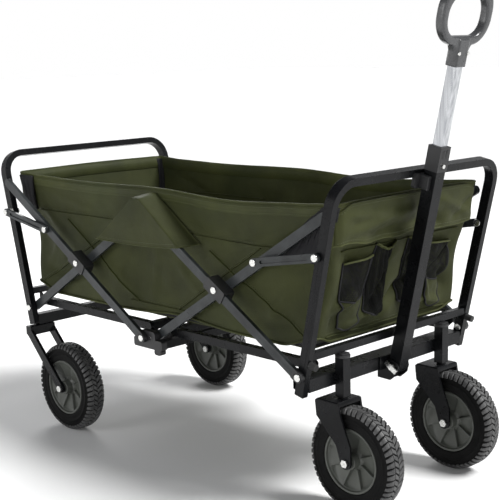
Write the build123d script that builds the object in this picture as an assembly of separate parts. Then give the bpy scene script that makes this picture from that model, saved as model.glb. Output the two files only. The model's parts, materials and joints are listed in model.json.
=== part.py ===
"""Folding camp wagon: two leaning hoops, a double X scissor on each side, a
fabric basket, four knobby wheels and a telescopic pull handle.

X runs forward to the handle, Y to the wagon's left, Z up. The model is drawn
about the scissor's middle plane and moved at the end, so that the origin is on
the floor under the middle of the whole wagon.
"""
from build123d import *
import os
from math import atan2, cos, degrees, radians, sin, tan

# ---------------------------------------------------------------- dimensions
# Scissor, side view
BAR_HALF = 245.0          # foot pivot to crossing, and crossing to centre pivot
BAR_REACH = 292.0         # crossing to the free top end
REST_ANGLE = 31.8         # bar angle above the floor when the wagon is open
KNUCKLE_STEP = 8.0        # each centre pivot from the middle plane
PIVOT_Z = 264.0           # foot pivots and lower centre pivots
BAR_WIDTH = 18.0
BAR_WALL = 1.5
PIN_R = 4.0
PIN_GAP = 0.05            # radial running clearance of every pivot pin

# Layers across the wagon, as distances from the middle plane
INNER_BAR = (216.5, 224.5)
LEG_LAYER = (226.0, 240.0)
OUTER_BAR = (241.5, 249.5)
REAR_LINK = (251.0, 257.0)
FRONT_LINK = (241.5, 247.5)
BASKET_HALF_Y = 213.0

# Hoops
LEAN = 12.4               # outward lean of the hoops and the handle
HOOP_FOOT = (417.0, 228.0)
HOOP_TOP_Z = 608.0
HOOP_DEPTH = 20.0
HOOP_WALL = 1.5
HOOP_CORNER_R = 52.0
CLIP_Z = 596.0
BUMPER_Z = 289.0
BEAM_DEPTH = 40.0
BEAM_Z = (232.0, 257.0)
REAR_BAR_Z = (223.5, 248.0)
FLOOR_BAR_Z = 300.0
FLOOR_BAR_SIZE = 14.0

# Stay links between hoop and bar
LINK_HOOP_RISE = 218.0    # hoop pivot above the foot pivot
LINK_BAR_REACH = 120.0    # bar pivot beyond the crossing
LINK_WIDTH = 16.0

# Wheels
WHEEL_R = 98.0
TYRE_WIDTH = 45.0
RIM_R = 62.0
HUB_R = 15.0
HUB_WIDTH = 48.0
AXLE_R = 5.0
SPOKE_POCKETS = 8
REAR_WHEEL = (-304.0, 220.0)
CASTER_PIVOT = (441.0, 148.0)
CASTER_TRAIL = 31.5

# Caster stem and fork
STEM_SIZE = 20.0
STEM_Z = (210.0, 284.0)
SPINDLE_R = 6.0
FORK_TOP_Z = 207.0
FORK_PLATE = 4.0
FORK_HALF = 32.0
FORK_REACH = (-40.0, 16.0)  # plate behind and ahead of the stem's axis
FORK_LIP = 8.0

# Floor frames and centre cross tubes
RAIL_SIZE = 16.0
RAIL_Y = 196.0
FLOOR_HINGE = (411.0, 275.0)
FLOOR_TIP_X = 31.0
CROSS_TUBE_X = 32.0
CROSS_TUBE_Z = 253.0
CROSS_TUBE = 18.0

# Basket
BASKET_BOTTOM_Z = 301.0
BASKET_SIDE_Z = 560.0
BASKET_END_Z = 571.0
BASKET_SET_BACK = 12.0    # wall face behind the hoop's centreline
FABRIC = 4.0
FLOOR_BOARD = 6.0
POCKET_CENTRE = (118.0, 398.0)
POCKET_SIZE = (80.0, 126.0)
POCKET_DEPTH = 16.0
POCKET_WALL = 2.0

# Handle
HANDLE_PIVOT = (450.0, 238.0)
BRACKET_LOW_Z = 211.0
BRACKET_UNDER = 17.0      # how far the ears reach back under the beam
LOWER_TUBE = 26.0
LOWER_TUBE_LENGTH = 415.0
INNER_TUBE = 20.0
INNER_TUBE_SPAN = (230.0, 585.0)
COLLAR_SPAN = (381.0, 426.0)
COLLAR_SIZE = 28.5
BUTTON_S = 392.0
BUTTON_R = 4.0
BUTTON_TRAVEL = 3.0
NECK_SPAN = (565.0, 612.0)
GRIP_CENTRE = 650.0
GRIP_DEPTH = 18.0

# ------------------------------------------------------------ derived points
C0 = cos(radians(REST_ANGLE))
S0 = sin(radians(REST_ANGLE))
SLOPE = tan(radians(LEAN))
FOOT_X = KNUCKLE_STEP + 2 * BAR_HALF * C0
CROSS = (KNUCKLE_STEP + BAR_HALF * C0, PIVOT_Z + BAR_HALF * S0)
TOP_PIVOT_Z = PIVOT_Z + 2 * BAR_HALF * S0
BAR_TOP = (CROSS[0] + BAR_REACH * C0, CROSS[1] + BAR_REACH * S0)
LINK_HOOP = (FOOT_X + LINK_HOOP_RISE * SLOPE - 5.0, PIVOT_Z + LINK_HOOP_RISE)
LINK_BAR = (CROSS[0] + LINK_BAR_REACH * C0, CROSS[1] + LINK_BAR_REACH * S0)
WHEEL_X_FRONT = CASTER_PIVOT[0] + CASTER_TRAIL


def hoop_x(z):
    """X of the front hoop's centreline at height z."""
    return HOOP_FOOT[0] + (z - HOOP_FOOT[1]) * SLOPE


# ------------------------------------------------------------- small helpers
PARTS = {}


def keep(name, *shapes):
    """Register one node made of the given separate solids."""
    solids = [solid for shape in shapes for solid in shape.solids()]
    PARTS[name] = solids[0] if len(solids) == 1 else Compound(solids)


def both_sides(*shapes):
    """The left-hand shapes and their right-hand mirror images."""
    return list(shapes) + [mirror(shape, Plane.XZ) for shape in shapes]


def fore_aft(shape):
    """The rear twin of a front shape."""
    return mirror(shape, Plane.YZ)


def side_slab(sketch, y_low, y_high):
    """A side-view sketch (X, Z) as a plate from y_low to y_high."""
    return Pos(0, y_high, 0) * extrude(Plane.XZ * sketch, amount=y_high - y_low)


def box_between(x, y, z):
    """A box from three (low, high) pairs."""
    size = [high - low for low, high in (x, y, z)]
    middle = [(high + low) / 2 for low, high in (x, y, z)]
    return Pos(*middle) * Box(*size)


def rod_y(x, z, y_low, y_high, radius):
    """A round rod along Y."""
    return side_slab(Pos(x, z) * Circle(radius), y_low, y_high)


def hex_y(x, z, y_low, y_high, radius):
    """A hexagonal head along Y."""
    return side_slab(Pos(x, z) * RegularPolygon(radius, 6), y_low, y_high)


def span_sketch(start, end, width):
    """A round-ended strip between two side-view points."""
    run = Vector(end[0] - start[0], end[1] - start[1])
    angle = degrees(atan2(run.Y, run.X))
    middle = ((start[0] + end[0]) / 2, (start[1] + end[1]) / 2)
    return Pos(*middle) * Rot(0, 0, angle) * SlotCenterToCenter(run.length, width)


def along(start, end, distance):
    """The point at a distance from start towards end."""
    run = Vector(end[0] - start[0], end[1] - start[1])
    return (start[0] + run.X * distance / run.length, start[1] + run.Y * distance / run.length)


def strip_box(start, end, first, last, width):
    """A square-ended strip along a line, from distance first to last."""
    head = along(start, end, first)
    tail = along(start, end, last)
    angle = degrees(atan2(tail[1] - head[1], tail[0] - head[0]))
    middle = ((head[0] + tail[0]) / 2, (head[1] + tail[1]) / 2)
    return Pos(*middle) * Rot(0, 0, angle) * Rectangle(last - first, width)


def pin_hole(x, z, y_low, y_high, radius=PIN_R):
    """The hole that a pin of the given radius runs in."""
    return rod_y(x, z, y_low - 1, y_high + 1, radius + PIN_GAP)


def rivet(x, z, y_low, y_high, head_low=0.0, head_high=0.0, head_r=7.0):
    """A rivet shank along Y, with a domed head at either end."""
    body = rod_y(x, z, y_low, y_high, PIN_R)
    if head_low:
        body += rod_y(x, z, y_low - head_low, y_low, head_r)
        body = fillet(body.edges().filter_by(GeomType.CIRCLE).sort_by(Axis.Y)[0], head_low * 0.6)
    if head_high:
        body += rod_y(x, z, y_high, y_high + head_high, head_r)
        body = fillet(body.edges().filter_by(GeomType.CIRCLE).sort_by(Axis.Y)[-1], head_high * 0.6)
    return body


def hollow_bar(start, end, layer, holes):
    """One scissor bar: a flat tube with round ends and pivot holes."""
    body = side_slab(span_sketch(start, end, BAR_WIDTH), *layer)
    length = Vector(end[0] - start[0], end[1] - start[1]).length
    bore = strip_box(start, end, -BAR_WIDTH, length + BAR_WIDTH, BAR_WIDTH - 2 * BAR_WALL)
    body -= side_slab(bore, layer[0] + BAR_WALL, layer[1] - BAR_WALL)
    for x, z in holes:
        body -= pin_hole(x, z, *layer)
    return body


def bar_cap(start, end, layer, hole):
    """A plastic cap wrapped round a bar's start end."""
    shell = 0.8
    outline = span_sketch(start, along(start, end, 14.0), BAR_WIDTH + 2 * shell)
    outline -= strip_box(start, end, 14.0, 40.0, BAR_WIDTH + 6 * shell)
    cap = side_slab(outline, layer[0] - shell, layer[1] + shell)
    cap -= side_slab(span_sketch(start, end, BAR_WIDTH), *layer)
    return cap - pin_hole(*hole, layer[0] - 2, layer[1] + 2, PIN_R + 4.5)


# --------------------------------------------------------------- side points
def rear_point(point):
    """The rear twin of a side-view point."""
    return (-point[0], point[1])


REAR_FOOT = (-FOOT_X, PIVOT_Z)
FRONT_FOOT = (FOOT_X, PIVOT_Z)
REAR_CROSS = rear_point(CROSS)
TOP_REAR = (-KNUCKLE_STEP, TOP_PIVOT_Z)
TOP_FRONT = (KNUCKLE_STEP, TOP_PIVOT_Z)
LOW_REAR = (-KNUCKLE_STEP, PIVOT_Z)
LOW_FRONT = (KNUCKLE_STEP, PIVOT_Z)


# --------------------------------------------------------------------- hoops
def hoop_plane():
    """Plane of the front hoop: local x is Y, local y runs up the legs."""
    lean = radians(LEAN)
    return Plane(origin=(HOOP_FOOT[0], 0, HOOP_FOOT[1]), x_dir=(0, 1, 0),
                 z_dir=(cos(lean), 0, -sin(lean)))


def hoop_outline(half_width, height, corner_r):
    """A tall rectangle with two round top corners, standing on the foot line."""
    outline = Pos(0, height / 2) * Rectangle(2 * half_width, height)
    return fillet(outline.vertices().group_by(Axis.Y)[-1], corner_r)


def make_hoop():
    """The front hoop: one rectangular tube bent over the top."""
    leg = LEG_LAYER[1] - LEG_LAYER[0]
    height = (HOOP_TOP_Z - HOOP_FOOT[1]) / cos(radians(LEAN)) + leg / 2
    outer = hoop_outline(LEG_LAYER[1], height, HOOP_CORNER_R)
    inner = hoop_outline(LEG_LAYER[0], height - leg, HOOP_CORNER_R - leg)
    core_out = hoop_outline(LEG_LAYER[1] - HOOP_WALL, height - HOOP_WALL, HOOP_CORNER_R - HOOP_WALL)
    core_in = hoop_outline(LEG_LAYER[0] + HOOP_WALL, height - leg + HOOP_WALL,
                           HOOP_CORNER_R - leg + HOOP_WALL)
    depth = HOOP_DEPTH / 2
    tube = extrude(hoop_plane() * (outer - inner), amount=depth, both=True)
    tube -= extrude(hoop_plane() * (core_out - core_in), amount=depth - HOOP_WALL, both=True)
    for point in (FRONT_FOOT, LINK_HOOP):
        for side in (1, -1):
            low = min(side * LEG_LAYER[0], side * LEG_LAYER[1])
            tube -= pin_hole(*point, low, low + leg)
    return tube


def make_foot_cap():
    """A plastic plug closing the foot of the left front leg."""
    leg = LEG_LAYER[1] - LEG_LAYER[0]
    middle = (LEG_LAYER[0] + LEG_LAYER[1]) / 2
    flange = Pos(middle, -0.9) * Rectangle(leg, 1.8)
    plug = Pos(middle, 7.0) * Rectangle(leg - 2 * HOOP_WALL, 14.0)
    body = extrude(hoop_plane() * flange, amount=HOOP_DEPTH / 2, both=True)
    return body + extrude(hoop_plane() * plug, amount=HOOP_DEPTH / 2 - HOOP_WALL, both=True)


HOOP = make_hoop()
FOOT_CAP = make_foot_cap()


def square_tube(x, y, z, wall=1.5):
    """A rectangular tube along Y from three (low, high) pairs."""
    core = box_between((x[0] + wall, x[1] - wall), y, (z[0] + wall, z[1] - wall))
    return box_between(x, y, z) - core


def floor_bar():
    """Front upper cross tube with the two lugs that carry the floor frame."""
    x = hoop_x(FLOOR_BAR_Z) + 1.5
    half = FLOOR_BAR_SIZE / 2
    span = (-LEG_LAYER[0], LEG_LAYER[0])
    bar = square_tube((x - half, x + half), span, (FLOOR_BAR_Z - half, FLOOR_BAR_Z + half))
    lug_y = RAIL_Y + RAIL_SIZE / 2 + 0.5
    outline = span_sketch(FLOOR_HINGE, (x - half, FLOOR_BAR_Z - 10), 16.0)
    outline -= Pos(x + 8, FLOOR_BAR_Z) * Rectangle(2 * (8 + half), 60.0)
    for side in (1, -1):
        low = min(side * lug_y, side * (lug_y + 4))
        lug = side_slab(outline, low, low + 4) - pin_hole(*FLOOR_HINGE, low, low + 4)
        bar += lug
    return bar


FLOOR_BAR = floor_bar()
HINGE_PIN_Y = (RAIL_Y - RAIL_SIZE / 2 - 1.5, RAIL_Y + RAIL_SIZE / 2 + 4.7)


def hinge_pin(x_sign):
    """Pin of the left floor hinge, with a head at each end."""
    x = FLOOR_HINGE[0] * x_sign
    return rivet(x, FLOOR_HINGE[1], *HINGE_PIN_Y, head_low=1.5, head_high=1.5, head_r=6.0)


# ---------------------------------------------------------------- rear frame
def rear_fork():
    """Left rear wheel fork: two slanted arms under a short bridge."""
    wheel_x, wheel_y = REAR_WHEEL
    bridge_top = REAR_BAR_Z[0]
    top = (-FOOT_X + 10.0, bridge_top - 12.0)
    arm = span_sketch((wheel_x, WHEEL_R), top, 20.0)
    gap = HUB_WIDTH / 2 + 1.5
    body = side_slab(arm, wheel_y + gap, wheel_y + gap + 7)
    body += side_slab(arm, wheel_y - gap - 7, wheel_y - gap)
    bridge = ((top[0] - 10, top[0] + 10), (wheel_y - gap - 7, wheel_y + gap + 7),
              (top[1] - 8, bridge_top))
    body += box_between(*bridge)
    return body - pin_hole(wheel_x, WHEEL_R, wheel_y - 60, wheel_y + 60, AXLE_R)


def axle(x, y, reach):
    """A wheel bolt with a hexagonal head and nut outside the fork."""
    body = rod_y(x, WHEEL_R, y - reach, y + reach, AXLE_R)
    body += hex_y(x, WHEEL_R, y + reach, y + reach + 4.5, 8.0)
    return body + hex_y(x, WHEEL_R, y - reach - 4.5, y - reach, 8.0)


keep("rear_hoop", fore_aft(HOOP))
keep("rear_foot_caps", *both_sides(fore_aft(FOOT_CAP)))
rear_bar_x = -hoop_x(sum(REAR_BAR_Z) / 2)
rear_bar = square_tube((rear_bar_x - 10, rear_bar_x + 10), (-LEG_LAYER[0], LEG_LAYER[0]),
                       REAR_BAR_Z)
keep("rear_cross_tubes", rear_bar, fore_aft(FLOOR_BAR))
keep("rear_forks", *both_sides(rear_fork()))
rear_reach = HUB_WIDTH / 2 + 1.5 + 7.0
keep("rear_axles", *both_sides(axle(*REAR_WHEEL, rear_reach)))
rear_foot_rivet = rivet(*REAR_FOOT, INNER_BAR[0] - 0.2, LEG_LAYER[1], head_low=1.8, head_high=3.0)
rear_link_bolt = rivet(*rear_point(LINK_HOOP), LEG_LAYER[0], REAR_LINK[1] + 0.2,
                       head_low=2.0, head_high=2.5)
rear_link_bolt += rod_y(*rear_point(LINK_HOOP), LEG_LAYER[1], REAR_LINK[0] - 0.3, 8.0)
keep("rear_frame_rivets", *both_sides(rear_foot_rivet, rear_link_bolt, hinge_pin(-1)))


# -------------------------------------------------------------------- wheels
def tyre(x, y):
    """A smooth tyre carcass, wider than the rim it sits on."""
    half = TYRE_WIDTH / 2
    shoulder = 13.0
    with BuildSketch(Plane.XY) as section:
        with BuildLine():
            Polyline((RIM_R, -half + 6), (RIM_R + 4, -half + 1.5), (WHEEL_R - 16, -half))
            Line((WHEEL_R - 16, -half), (WHEEL_R - shoulder, -half))
            ThreePointArc((WHEEL_R - shoulder, -half), (WHEEL_R - 4.2, -half + 4.6),
                          (WHEEL_R, -half + shoulder))
            Line((WHEEL_R, -half + shoulder), (WHEEL_R, half - shoulder))
            ThreePointArc((WHEEL_R, half - shoulder), (WHEEL_R - 4.2, half - 4.6),
                          (WHEEL_R - shoulder, half))
            Line((WHEEL_R - shoulder, half), (WHEEL_R - 16, half))
            Polyline((WHEEL_R - 16, half), (RIM_R + 4, half - 1.5), (RIM_R, half - 6))
            Line((RIM_R, half - 6), (RIM_R, -half + 6))
        make_face()
    ring = revolve(section.sketch, Axis.Y, 360)
    return Pos(x, y, WHEEL_R) * ring


def rim(x, y):
    """A moulded rim: barrel, dished web with wedge pockets, and hub."""
    half = TYRE_WIDTH / 2 - 6
    with BuildSketch(Plane.XY) as section:
        with Locations(((RIM_R + RIM_R - 5) / 2, 0)):
            Rectangle(5, 2 * half)
        with Locations(((RIM_R - 3) / 2, 0)):
            Rectangle(RIM_R - 3, 10)
        with Locations((HUB_R / 2, 0)):
            Rectangle(HUB_R, HUB_WIDTH)
    wheel = revolve(section.sketch, Axis.Y, 360)
    wedge_half = 360.0 / SPOKE_POCKETS / 2 - 6.0
    with BuildSketch(Plane.XZ) as pocket:
        Circle(RIM_R - 9)
        Circle(HUB_R + 5, mode=Mode.SUBTRACT)
        reach = 2 * RIM_R
        corner = reach * tan(radians(wedge_half))
        Polygon((0, 0), (reach, -corner), (reach, corner), align=None, mode=Mode.INTERSECT)
    for index in range(SPOKE_POCKETS):
        turn = Rot(0, index * 360.0 / SPOKE_POCKETS, 0)
        for y_end in (5.0, -2.0):
            wheel -= turn * Pos(0, y_end, 0) * extrude(pocket.sketch, amount=3.0)
    wheel -= rod_y(0, 0, -HUB_WIDTH, HUB_WIDTH, AXLE_R + PIN_GAP)
    return Pos(x, y, WHEEL_R) * wheel


SIDES = (("left", 1), ("right", -1))
for side_name, side in SIDES:
    rear_place = (REAR_WHEEL[0], side * REAR_WHEEL[1])
    front_place = (WHEEL_X_FRONT, side * CASTER_PIVOT[1])
    keep("rear_tyre_" + side_name, tyre(*rear_place))
    keep("rear_rim_" + side_name, rim(*rear_place))
    keep("front_tyre_" + side_name, tyre(*front_place))
    keep("front_rim_" + side_name, rim(*front_place))


# --------------------------------------------------------------- front frame
def caster_stem():
    """Left caster stem: a square tube bored for the fork's spindle."""
    x, y = CASTER_PIVOT
    half = STEM_SIZE / 2
    stem = box_between((x - half, x + half), (y - half, y + half), STEM_Z)
    bore = Pos(x, y, sum(STEM_Z) / 2) * Cylinder(SPINDLE_R + PIN_GAP, 200)
    return stem - bore


def stem_cap():
    """Ribbed cap on a caster stem."""
    x, y = CASTER_PIVOT
    top = STEM_Z[1]
    cap = Pos(x, y, top + 4) * Box(STEM_SIZE, STEM_SIZE, 8.0)
    cap = fillet(cap.edges().filter_by(Axis.Z), 4.0)
    ring = Pos(x, y, top + 2.5) * Cylinder(STEM_SIZE / 2 + 4, 5.0)
    return cap + ring


def caster_fork():
    """Left caster fork: bent plate with a front lip, tapered cheeks and a spindle."""
    x, y = CASTER_PIVOT
    rear, front = x + FORK_REACH[0], x + FORK_REACH[1]
    with BuildSketch() as cheek:
        with BuildLine():
            Polyline((rear, FORK_TOP_Z - 4), (rear + 4, FORK_TOP_Z), (front - 3, FORK_TOP_Z),
                     (front, FORK_TOP_Z - 3), (front + 3, FORK_TOP_Z - 20),
                     (WHEEL_X_FRONT + 12, WHEEL_R + 30), (WHEEL_X_FRONT + 12, WHEEL_R))
            ThreePointArc((WHEEL_X_FRONT + 12, WHEEL_R), (WHEEL_X_FRONT, WHEEL_R - 12),
                          (WHEEL_X_FRONT - 12, WHEEL_R))
            Polyline((WHEEL_X_FRONT - 12, WHEEL_R), (WHEEL_X_FRONT - 22, WHEEL_R + 30),
                     (rear + 3, FORK_TOP_Z - 32), (rear, FORK_TOP_Z - 4))
        make_face()
    inner = FORK_HALF - FORK_PLATE
    body = side_slab(cheek.sketch, y - FORK_HALF, y + FORK_HALF)
    top_edges = body.edges().filter_by(Axis.X).group_by(Axis.Z)[-1]
    body = fillet(top_edges, 3.0)
    body -= box_between((rear - 50, front - FORK_PLATE), (y - inner, y + inner),
                        (0, FORK_TOP_Z - FORK_PLATE))
    body -= box_between((rear - 50, front + 50), (y - inner, y + inner), (0, FORK_TOP_Z - FORK_LIP))
    body += Pos(x, y, FORK_TOP_Z + 1.3) * Cylinder(SPINDLE_R + 3, 2.6)
    spindle_top = STEM_Z[1] - 2
    height = spindle_top - FORK_TOP_Z + 1
    body += Pos(x, y, FORK_TOP_Z - 1 + height / 2) * Cylinder(SPINDLE_R, height)
    body -= pin_hole(WHEEL_X_FRONT, WHEEL_R, y - 60, y + 60, AXLE_R)
    return body


def handle_bracket():
    """Two hanging ears joined by a web and a base plate, bolted to the front beam."""
    x, z = HANDLE_PIVOT
    face = FRONT_FACE_X
    beam_low = BEAM_Z[0]
    back = face - BRACKET_UNDER
    ear = Polygon((face, beam_low), (back, beam_low), (back, BRACKET_LOW_Z + 1),
                  (x - 6, BRACKET_LOW_Z), (x + 9, z - 14), (x + 13, z), (x + 11, z + 8),
                  (x, z + 13), (face, z + 13), align=None)
    gap = LOWER_TUBE / 2 + 0.5
    body = box_between((face, face + 3), (-34, 34), BEAM_Z)
    body += box_between((back, face + 9), (-gap, gap), (BRACKET_LOW_Z + 1, BRACKET_LOW_Z + 4))
    for low in (gap, -gap - 3.5):
        body += side_slab(ear, low, low + 3.5) - pin_hole(x, z, low, low + 3.5)
    return body


def handle_bolt():
    """Pivot bolt with a hexagonal head and a wing nut."""
    x, z = HANDLE_PIVOT
    outside = LOWER_TUBE / 2 + 4.0
    bolt = rod_y(x, z, -outside, outside, PIN_R)
    bolt += hex_y(x, z, outside, outside + 4, 7.0)
    nut = rod_y(x, z, -outside - 6, -outside, 6.0)
    wings = Pos(x, -outside - 5, z) * Rot(0, 35, 0) * Box(30, 3, 9)
    wings = fillet(wings.edges().filter_by(lambda edge: edge.length < 3.01), 1.4)
    return bolt + nut + wings


def handle_clip():
    """Open clip on the hoop's top bar that holds the upright handle."""
    face = HOOP_DEPTH / 2
    tube_back = handle_offset() - LOWER_TUBE / 2
    height = (CLIP_Z - HOOP_FOOT[1]) / cos(radians(LEAN))
    base = Pos(0, height) * RectangleRounded(72, 26, 5)
    body = extrude((hoop_plane().offset(face)) * base, amount=tube_back - face - 0.3)
    arm_gap = LOWER_TUBE / 2 + 0.3
    for side in (1, -1):
        arm = Pos(side * (arm_gap + 5.0), height) * RectangleRounded(10.0, 26, 3)
        body += extrude(hoop_plane().offset(tube_back - 1.0) * arm, amount=19.0)
    return body


def handle_offset():
    """Distance of the handle's axis in front of the hoop's middle plane."""
    return (HANDLE_PIVOT[0] - hoop_x(HANDLE_PIVOT[1])) * cos(radians(LEAN))


FRONT_FACE_X = CASTER_PIVOT[0] - STEM_SIZE / 2
keep("front_hoop", HOOP)
keep("front_foot_caps", *both_sides(FOOT_CAP))
beam = square_tube((FRONT_FACE_X - BEAM_DEPTH, FRONT_FACE_X), (-LEG_LAYER[0], LEG_LAYER[0]),
                   BEAM_Z, 1.8)
keep("front_cross_tubes", beam, FLOOR_BAR)
keep("caster_stems", *both_sides(caster_stem()))
keep("stem_caps", *both_sides(stem_cap()))
keep("handle_bracket", handle_bracket())
keep("handle_bolt", handle_bolt())
keep("handle_clip", handle_clip())
bumper_spot = Pos(sum(LEG_LAYER) / 2, (BUMPER_Z - HOOP_FOOT[1]) / cos(radians(LEAN)))
bumper = extrude(hoop_plane().offset(HOOP_DEPTH / 2) * bumper_spot * Circle(6.5), amount=15)
keep("front_bumpers", *both_sides(bumper))
front_foot_rivet = rivet(*FRONT_FOOT, LEG_LAYER[0], OUTER_BAR[1] + 0.2, head_low=2.0, head_high=2.0)
front_link_bolt = rivet(*LINK_HOOP, LEG_LAYER[0], FRONT_LINK[1] + 0.2, head_low=2.0, head_high=3.0)
keep("front_frame_rivets", *both_sides(front_foot_rivet, front_link_bolt, hinge_pin(1)))

# ------------------------------------------------------------------- casters
for side_name, side in SIDES:
    fork = caster_fork()
    bolt = axle(WHEEL_X_FRONT, CASTER_PIVOT[1], FORK_HALF)
    keep("caster_fork_" + side_name, fork if side > 0 else mirror(fork, Plane.XZ))
    keep("caster_axle_" + side_name, bolt if side > 0 else mirror(bolt, Plane.XZ))


# -------------------------------------------------------------- scissor bars
def cross_sleeve(cross, free_end, layer_out):
    """Plastic block round an outer bar at the crossing, filling the gap
    between the two bars."""
    outline = strip_box(cross, free_end, -27.0, 27.0, BAR_WIDTH + 7)
    outline = fillet(outline.vertices(), 4.0)
    block = side_slab(outline, INNER_BAR[1] + 0.6, layer_out[1] + 2)
    block -= side_slab(strip_box(cross, free_end, -60.0, 60.0, BAR_WIDTH), *layer_out)
    return block - pin_hole(*cross, INNER_BAR[1], layer_out[1] + 4)


def cross_rivet(cross):
    """Rivet through a crossing, held in the outer bar and its sleeve."""
    return rivet(*cross, INNER_BAR[0] - 0.2, OUTER_BAR[1] + 2, head_low=1.8, head_high=2.5)


rear_top = rear_point(BAR_TOP)
keep("rear_lower_bars", *both_sides(hollow_bar(REAR_FOOT, TOP_REAR, INNER_BAR,
                                               (REAR_FOOT, REAR_CROSS, TOP_REAR))))
keep("rear_upper_bars", *both_sides(hollow_bar(LOW_REAR, rear_top, OUTER_BAR,
                                               (LOW_REAR, REAR_CROSS))))
keep("rear_cross_sleeves", *both_sides(cross_sleeve(REAR_CROSS, rear_top, OUTER_BAR)))
keep("rear_cross_rivets", *both_sides(cross_rivet(REAR_CROSS)))
keep("rear_upper_caps", *both_sides(bar_cap(LOW_REAR, rear_top, OUTER_BAR, LOW_REAR)))
keep("front_lower_bars", *both_sides(hollow_bar(FRONT_FOOT, TOP_FRONT, OUTER_BAR,
                                                (FRONT_FOOT, CROSS, TOP_FRONT))))
keep("front_upper_bars", *both_sides(hollow_bar(LOW_FRONT, BAR_TOP, INNER_BAR,
                                                (LOW_FRONT, CROSS))))
keep("front_cross_sleeves", *both_sides(cross_sleeve(CROSS, FRONT_FOOT, OUTER_BAR)))
keep("front_cross_rivets", *both_sides(cross_rivet(CROSS)))
keep("front_lower_caps", *both_sides(bar_cap(FRONT_FOOT, TOP_FRONT, OUTER_BAR, FRONT_FOOT)))


# ------------------------------------------------------------------ knuckles
def knuckle(z_low, z_high, half, pivot_z):
    """A centre block in the leg layer, drilled for its two pivot rivets."""
    outline = Pos(0, (z_low + z_high) / 2) * RectangleRounded(2 * half, z_high - z_low, 7)
    block = side_slab(outline, *LEG_LAYER)
    for x in (-KNUCKLE_STEP, KNUCKLE_STEP):
        block -= pin_hole(x, pivot_z, *LEG_LAYER)
    return block


top_knuckle = knuckle(TOP_PIVOT_Z - 15, TOP_PIVOT_Z + 20, 24, TOP_PIVOT_Z)
keep("top_knuckles", *both_sides(top_knuckle))


def inner_rivet(x, z):
    """Knuckle rivet that carries an inner bar."""
    return rivet(x, z, INNER_BAR[0] - 0.2, LEG_LAYER[1] - 2, head_low=1.8)


def outer_rivet(x, z):
    """Knuckle rivet that carries an outer bar."""
    return rivet(x, z, LEG_LAYER[0] + 2, OUTER_BAR[1] + 0.2, head_high=2.5)


keep("top_rivets", *both_sides(inner_rivet(*TOP_REAR), outer_rivet(*TOP_FRONT)))


def bottom_knuckle():
    """Lower centre block: an ear for the pivots on a foot that holds the
    pegs of the two cross tubes."""
    block = knuckle(PIVOT_Z - 20, PIVOT_Z + 14, 24, PIVOT_Z)
    foot_z = (CROSS_TUBE_Z - CROSS_TUBE / 2 - 2, CROSS_TUBE_Z + CROSS_TUBE / 2)
    reach = CROSS_TUBE_X + CROSS_TUBE / 2 + 3
    foot = Pos(0, sum(foot_z) / 2) * RectangleRounded(2 * reach, foot_z[1] - foot_z[0], 5)
    block += side_slab(foot, *LEG_LAYER)
    for x in (-KNUCKLE_STEP, KNUCKLE_STEP):
        block -= pin_hole(x, PIVOT_Z, *LEG_LAYER)
    peg = CROSS_TUBE / 2 - 1.7
    for x in (-CROSS_TUBE_X, CROSS_TUBE_X):
        block += box_between((x - peg, x + peg), (LEG_LAYER[0] - 24, LEG_LAYER[0] + 1),
                             (CROSS_TUBE_Z - peg, CROSS_TUBE_Z + peg))
    button = Pos(30, foot_z[0] - 4) * RectangleRounded(20, 12, 5)
    return block + side_slab(button, *LEG_LAYER)


keep("bottom_knuckles", *both_sides(bottom_knuckle()))
keep("bottom_rivets", *both_sides(outer_rivet(*LOW_REAR), inner_rivet(*LOW_FRONT)))
half_tube = CROSS_TUBE / 2
centre_tubes = [square_tube((x - half_tube, x + half_tube), (-LEG_LAYER[0], LEG_LAYER[0]),
                            (CROSS_TUBE_Z - half_tube, CROSS_TUBE_Z + half_tube))
                for x in (-CROSS_TUBE_X, CROSS_TUBE_X)]
keep("centre_cross_tubes", *centre_tubes)
pad_z = (CROSS_TUBE_Z + half_tube, FLOOR_HINGE[1] - RAIL_SIZE / 2 - 0.4)
pads = [box_between((x - 6, x + 6), (RAIL_Y - 12, RAIL_Y + 12), pad_z)
        for x in (-CROSS_TUBE_X - 5, CROSS_TUBE_X + 5)]
keep("rest_pads", *both_sides(*pads))


# --------------------------------------------------------------------- links
def stay_link(hoop_end, bar_end, layer):
    """A grooved stay between hoop and bar."""
    link = side_slab(span_sketch(hoop_end, bar_end, LINK_WIDTH), *layer)
    length = Vector(bar_end[0] - hoop_end[0], bar_end[1] - hoop_end[1]).length
    groove = span_sketch(along(hoop_end, bar_end, 20.0),
                         along(hoop_end, bar_end, length - 20.0), 6.0)
    link -= side_slab(groove, layer[1] - 2.5, layer[1] + 1)
    for point in (hoop_end, bar_end):
        link -= pin_hole(*point, *layer)
    return link


def link_pin(point, layer, bar_face):
    """Headed pin in a link's free end, stopping just short of the bar."""
    pin = rivet(*point, bar_face + 0.5, layer[1], head_high=2.5)
    return pin + rod_y(*point, bar_face + 0.5, layer[0], 6.5)


rear_ends = (rear_point(LINK_HOOP), rear_point(LINK_BAR))
keep("rear_links", *both_sides(stay_link(*rear_ends, REAR_LINK)))
keep("rear_link_pins", *both_sides(link_pin(rear_ends[1], REAR_LINK, OUTER_BAR[1])))
keep("front_links", *both_sides(stay_link(LINK_HOOP, LINK_BAR, FRONT_LINK)))
keep("front_link_pins", *both_sides(link_pin(LINK_BAR, FRONT_LINK, INNER_BAR[1])))


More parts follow.
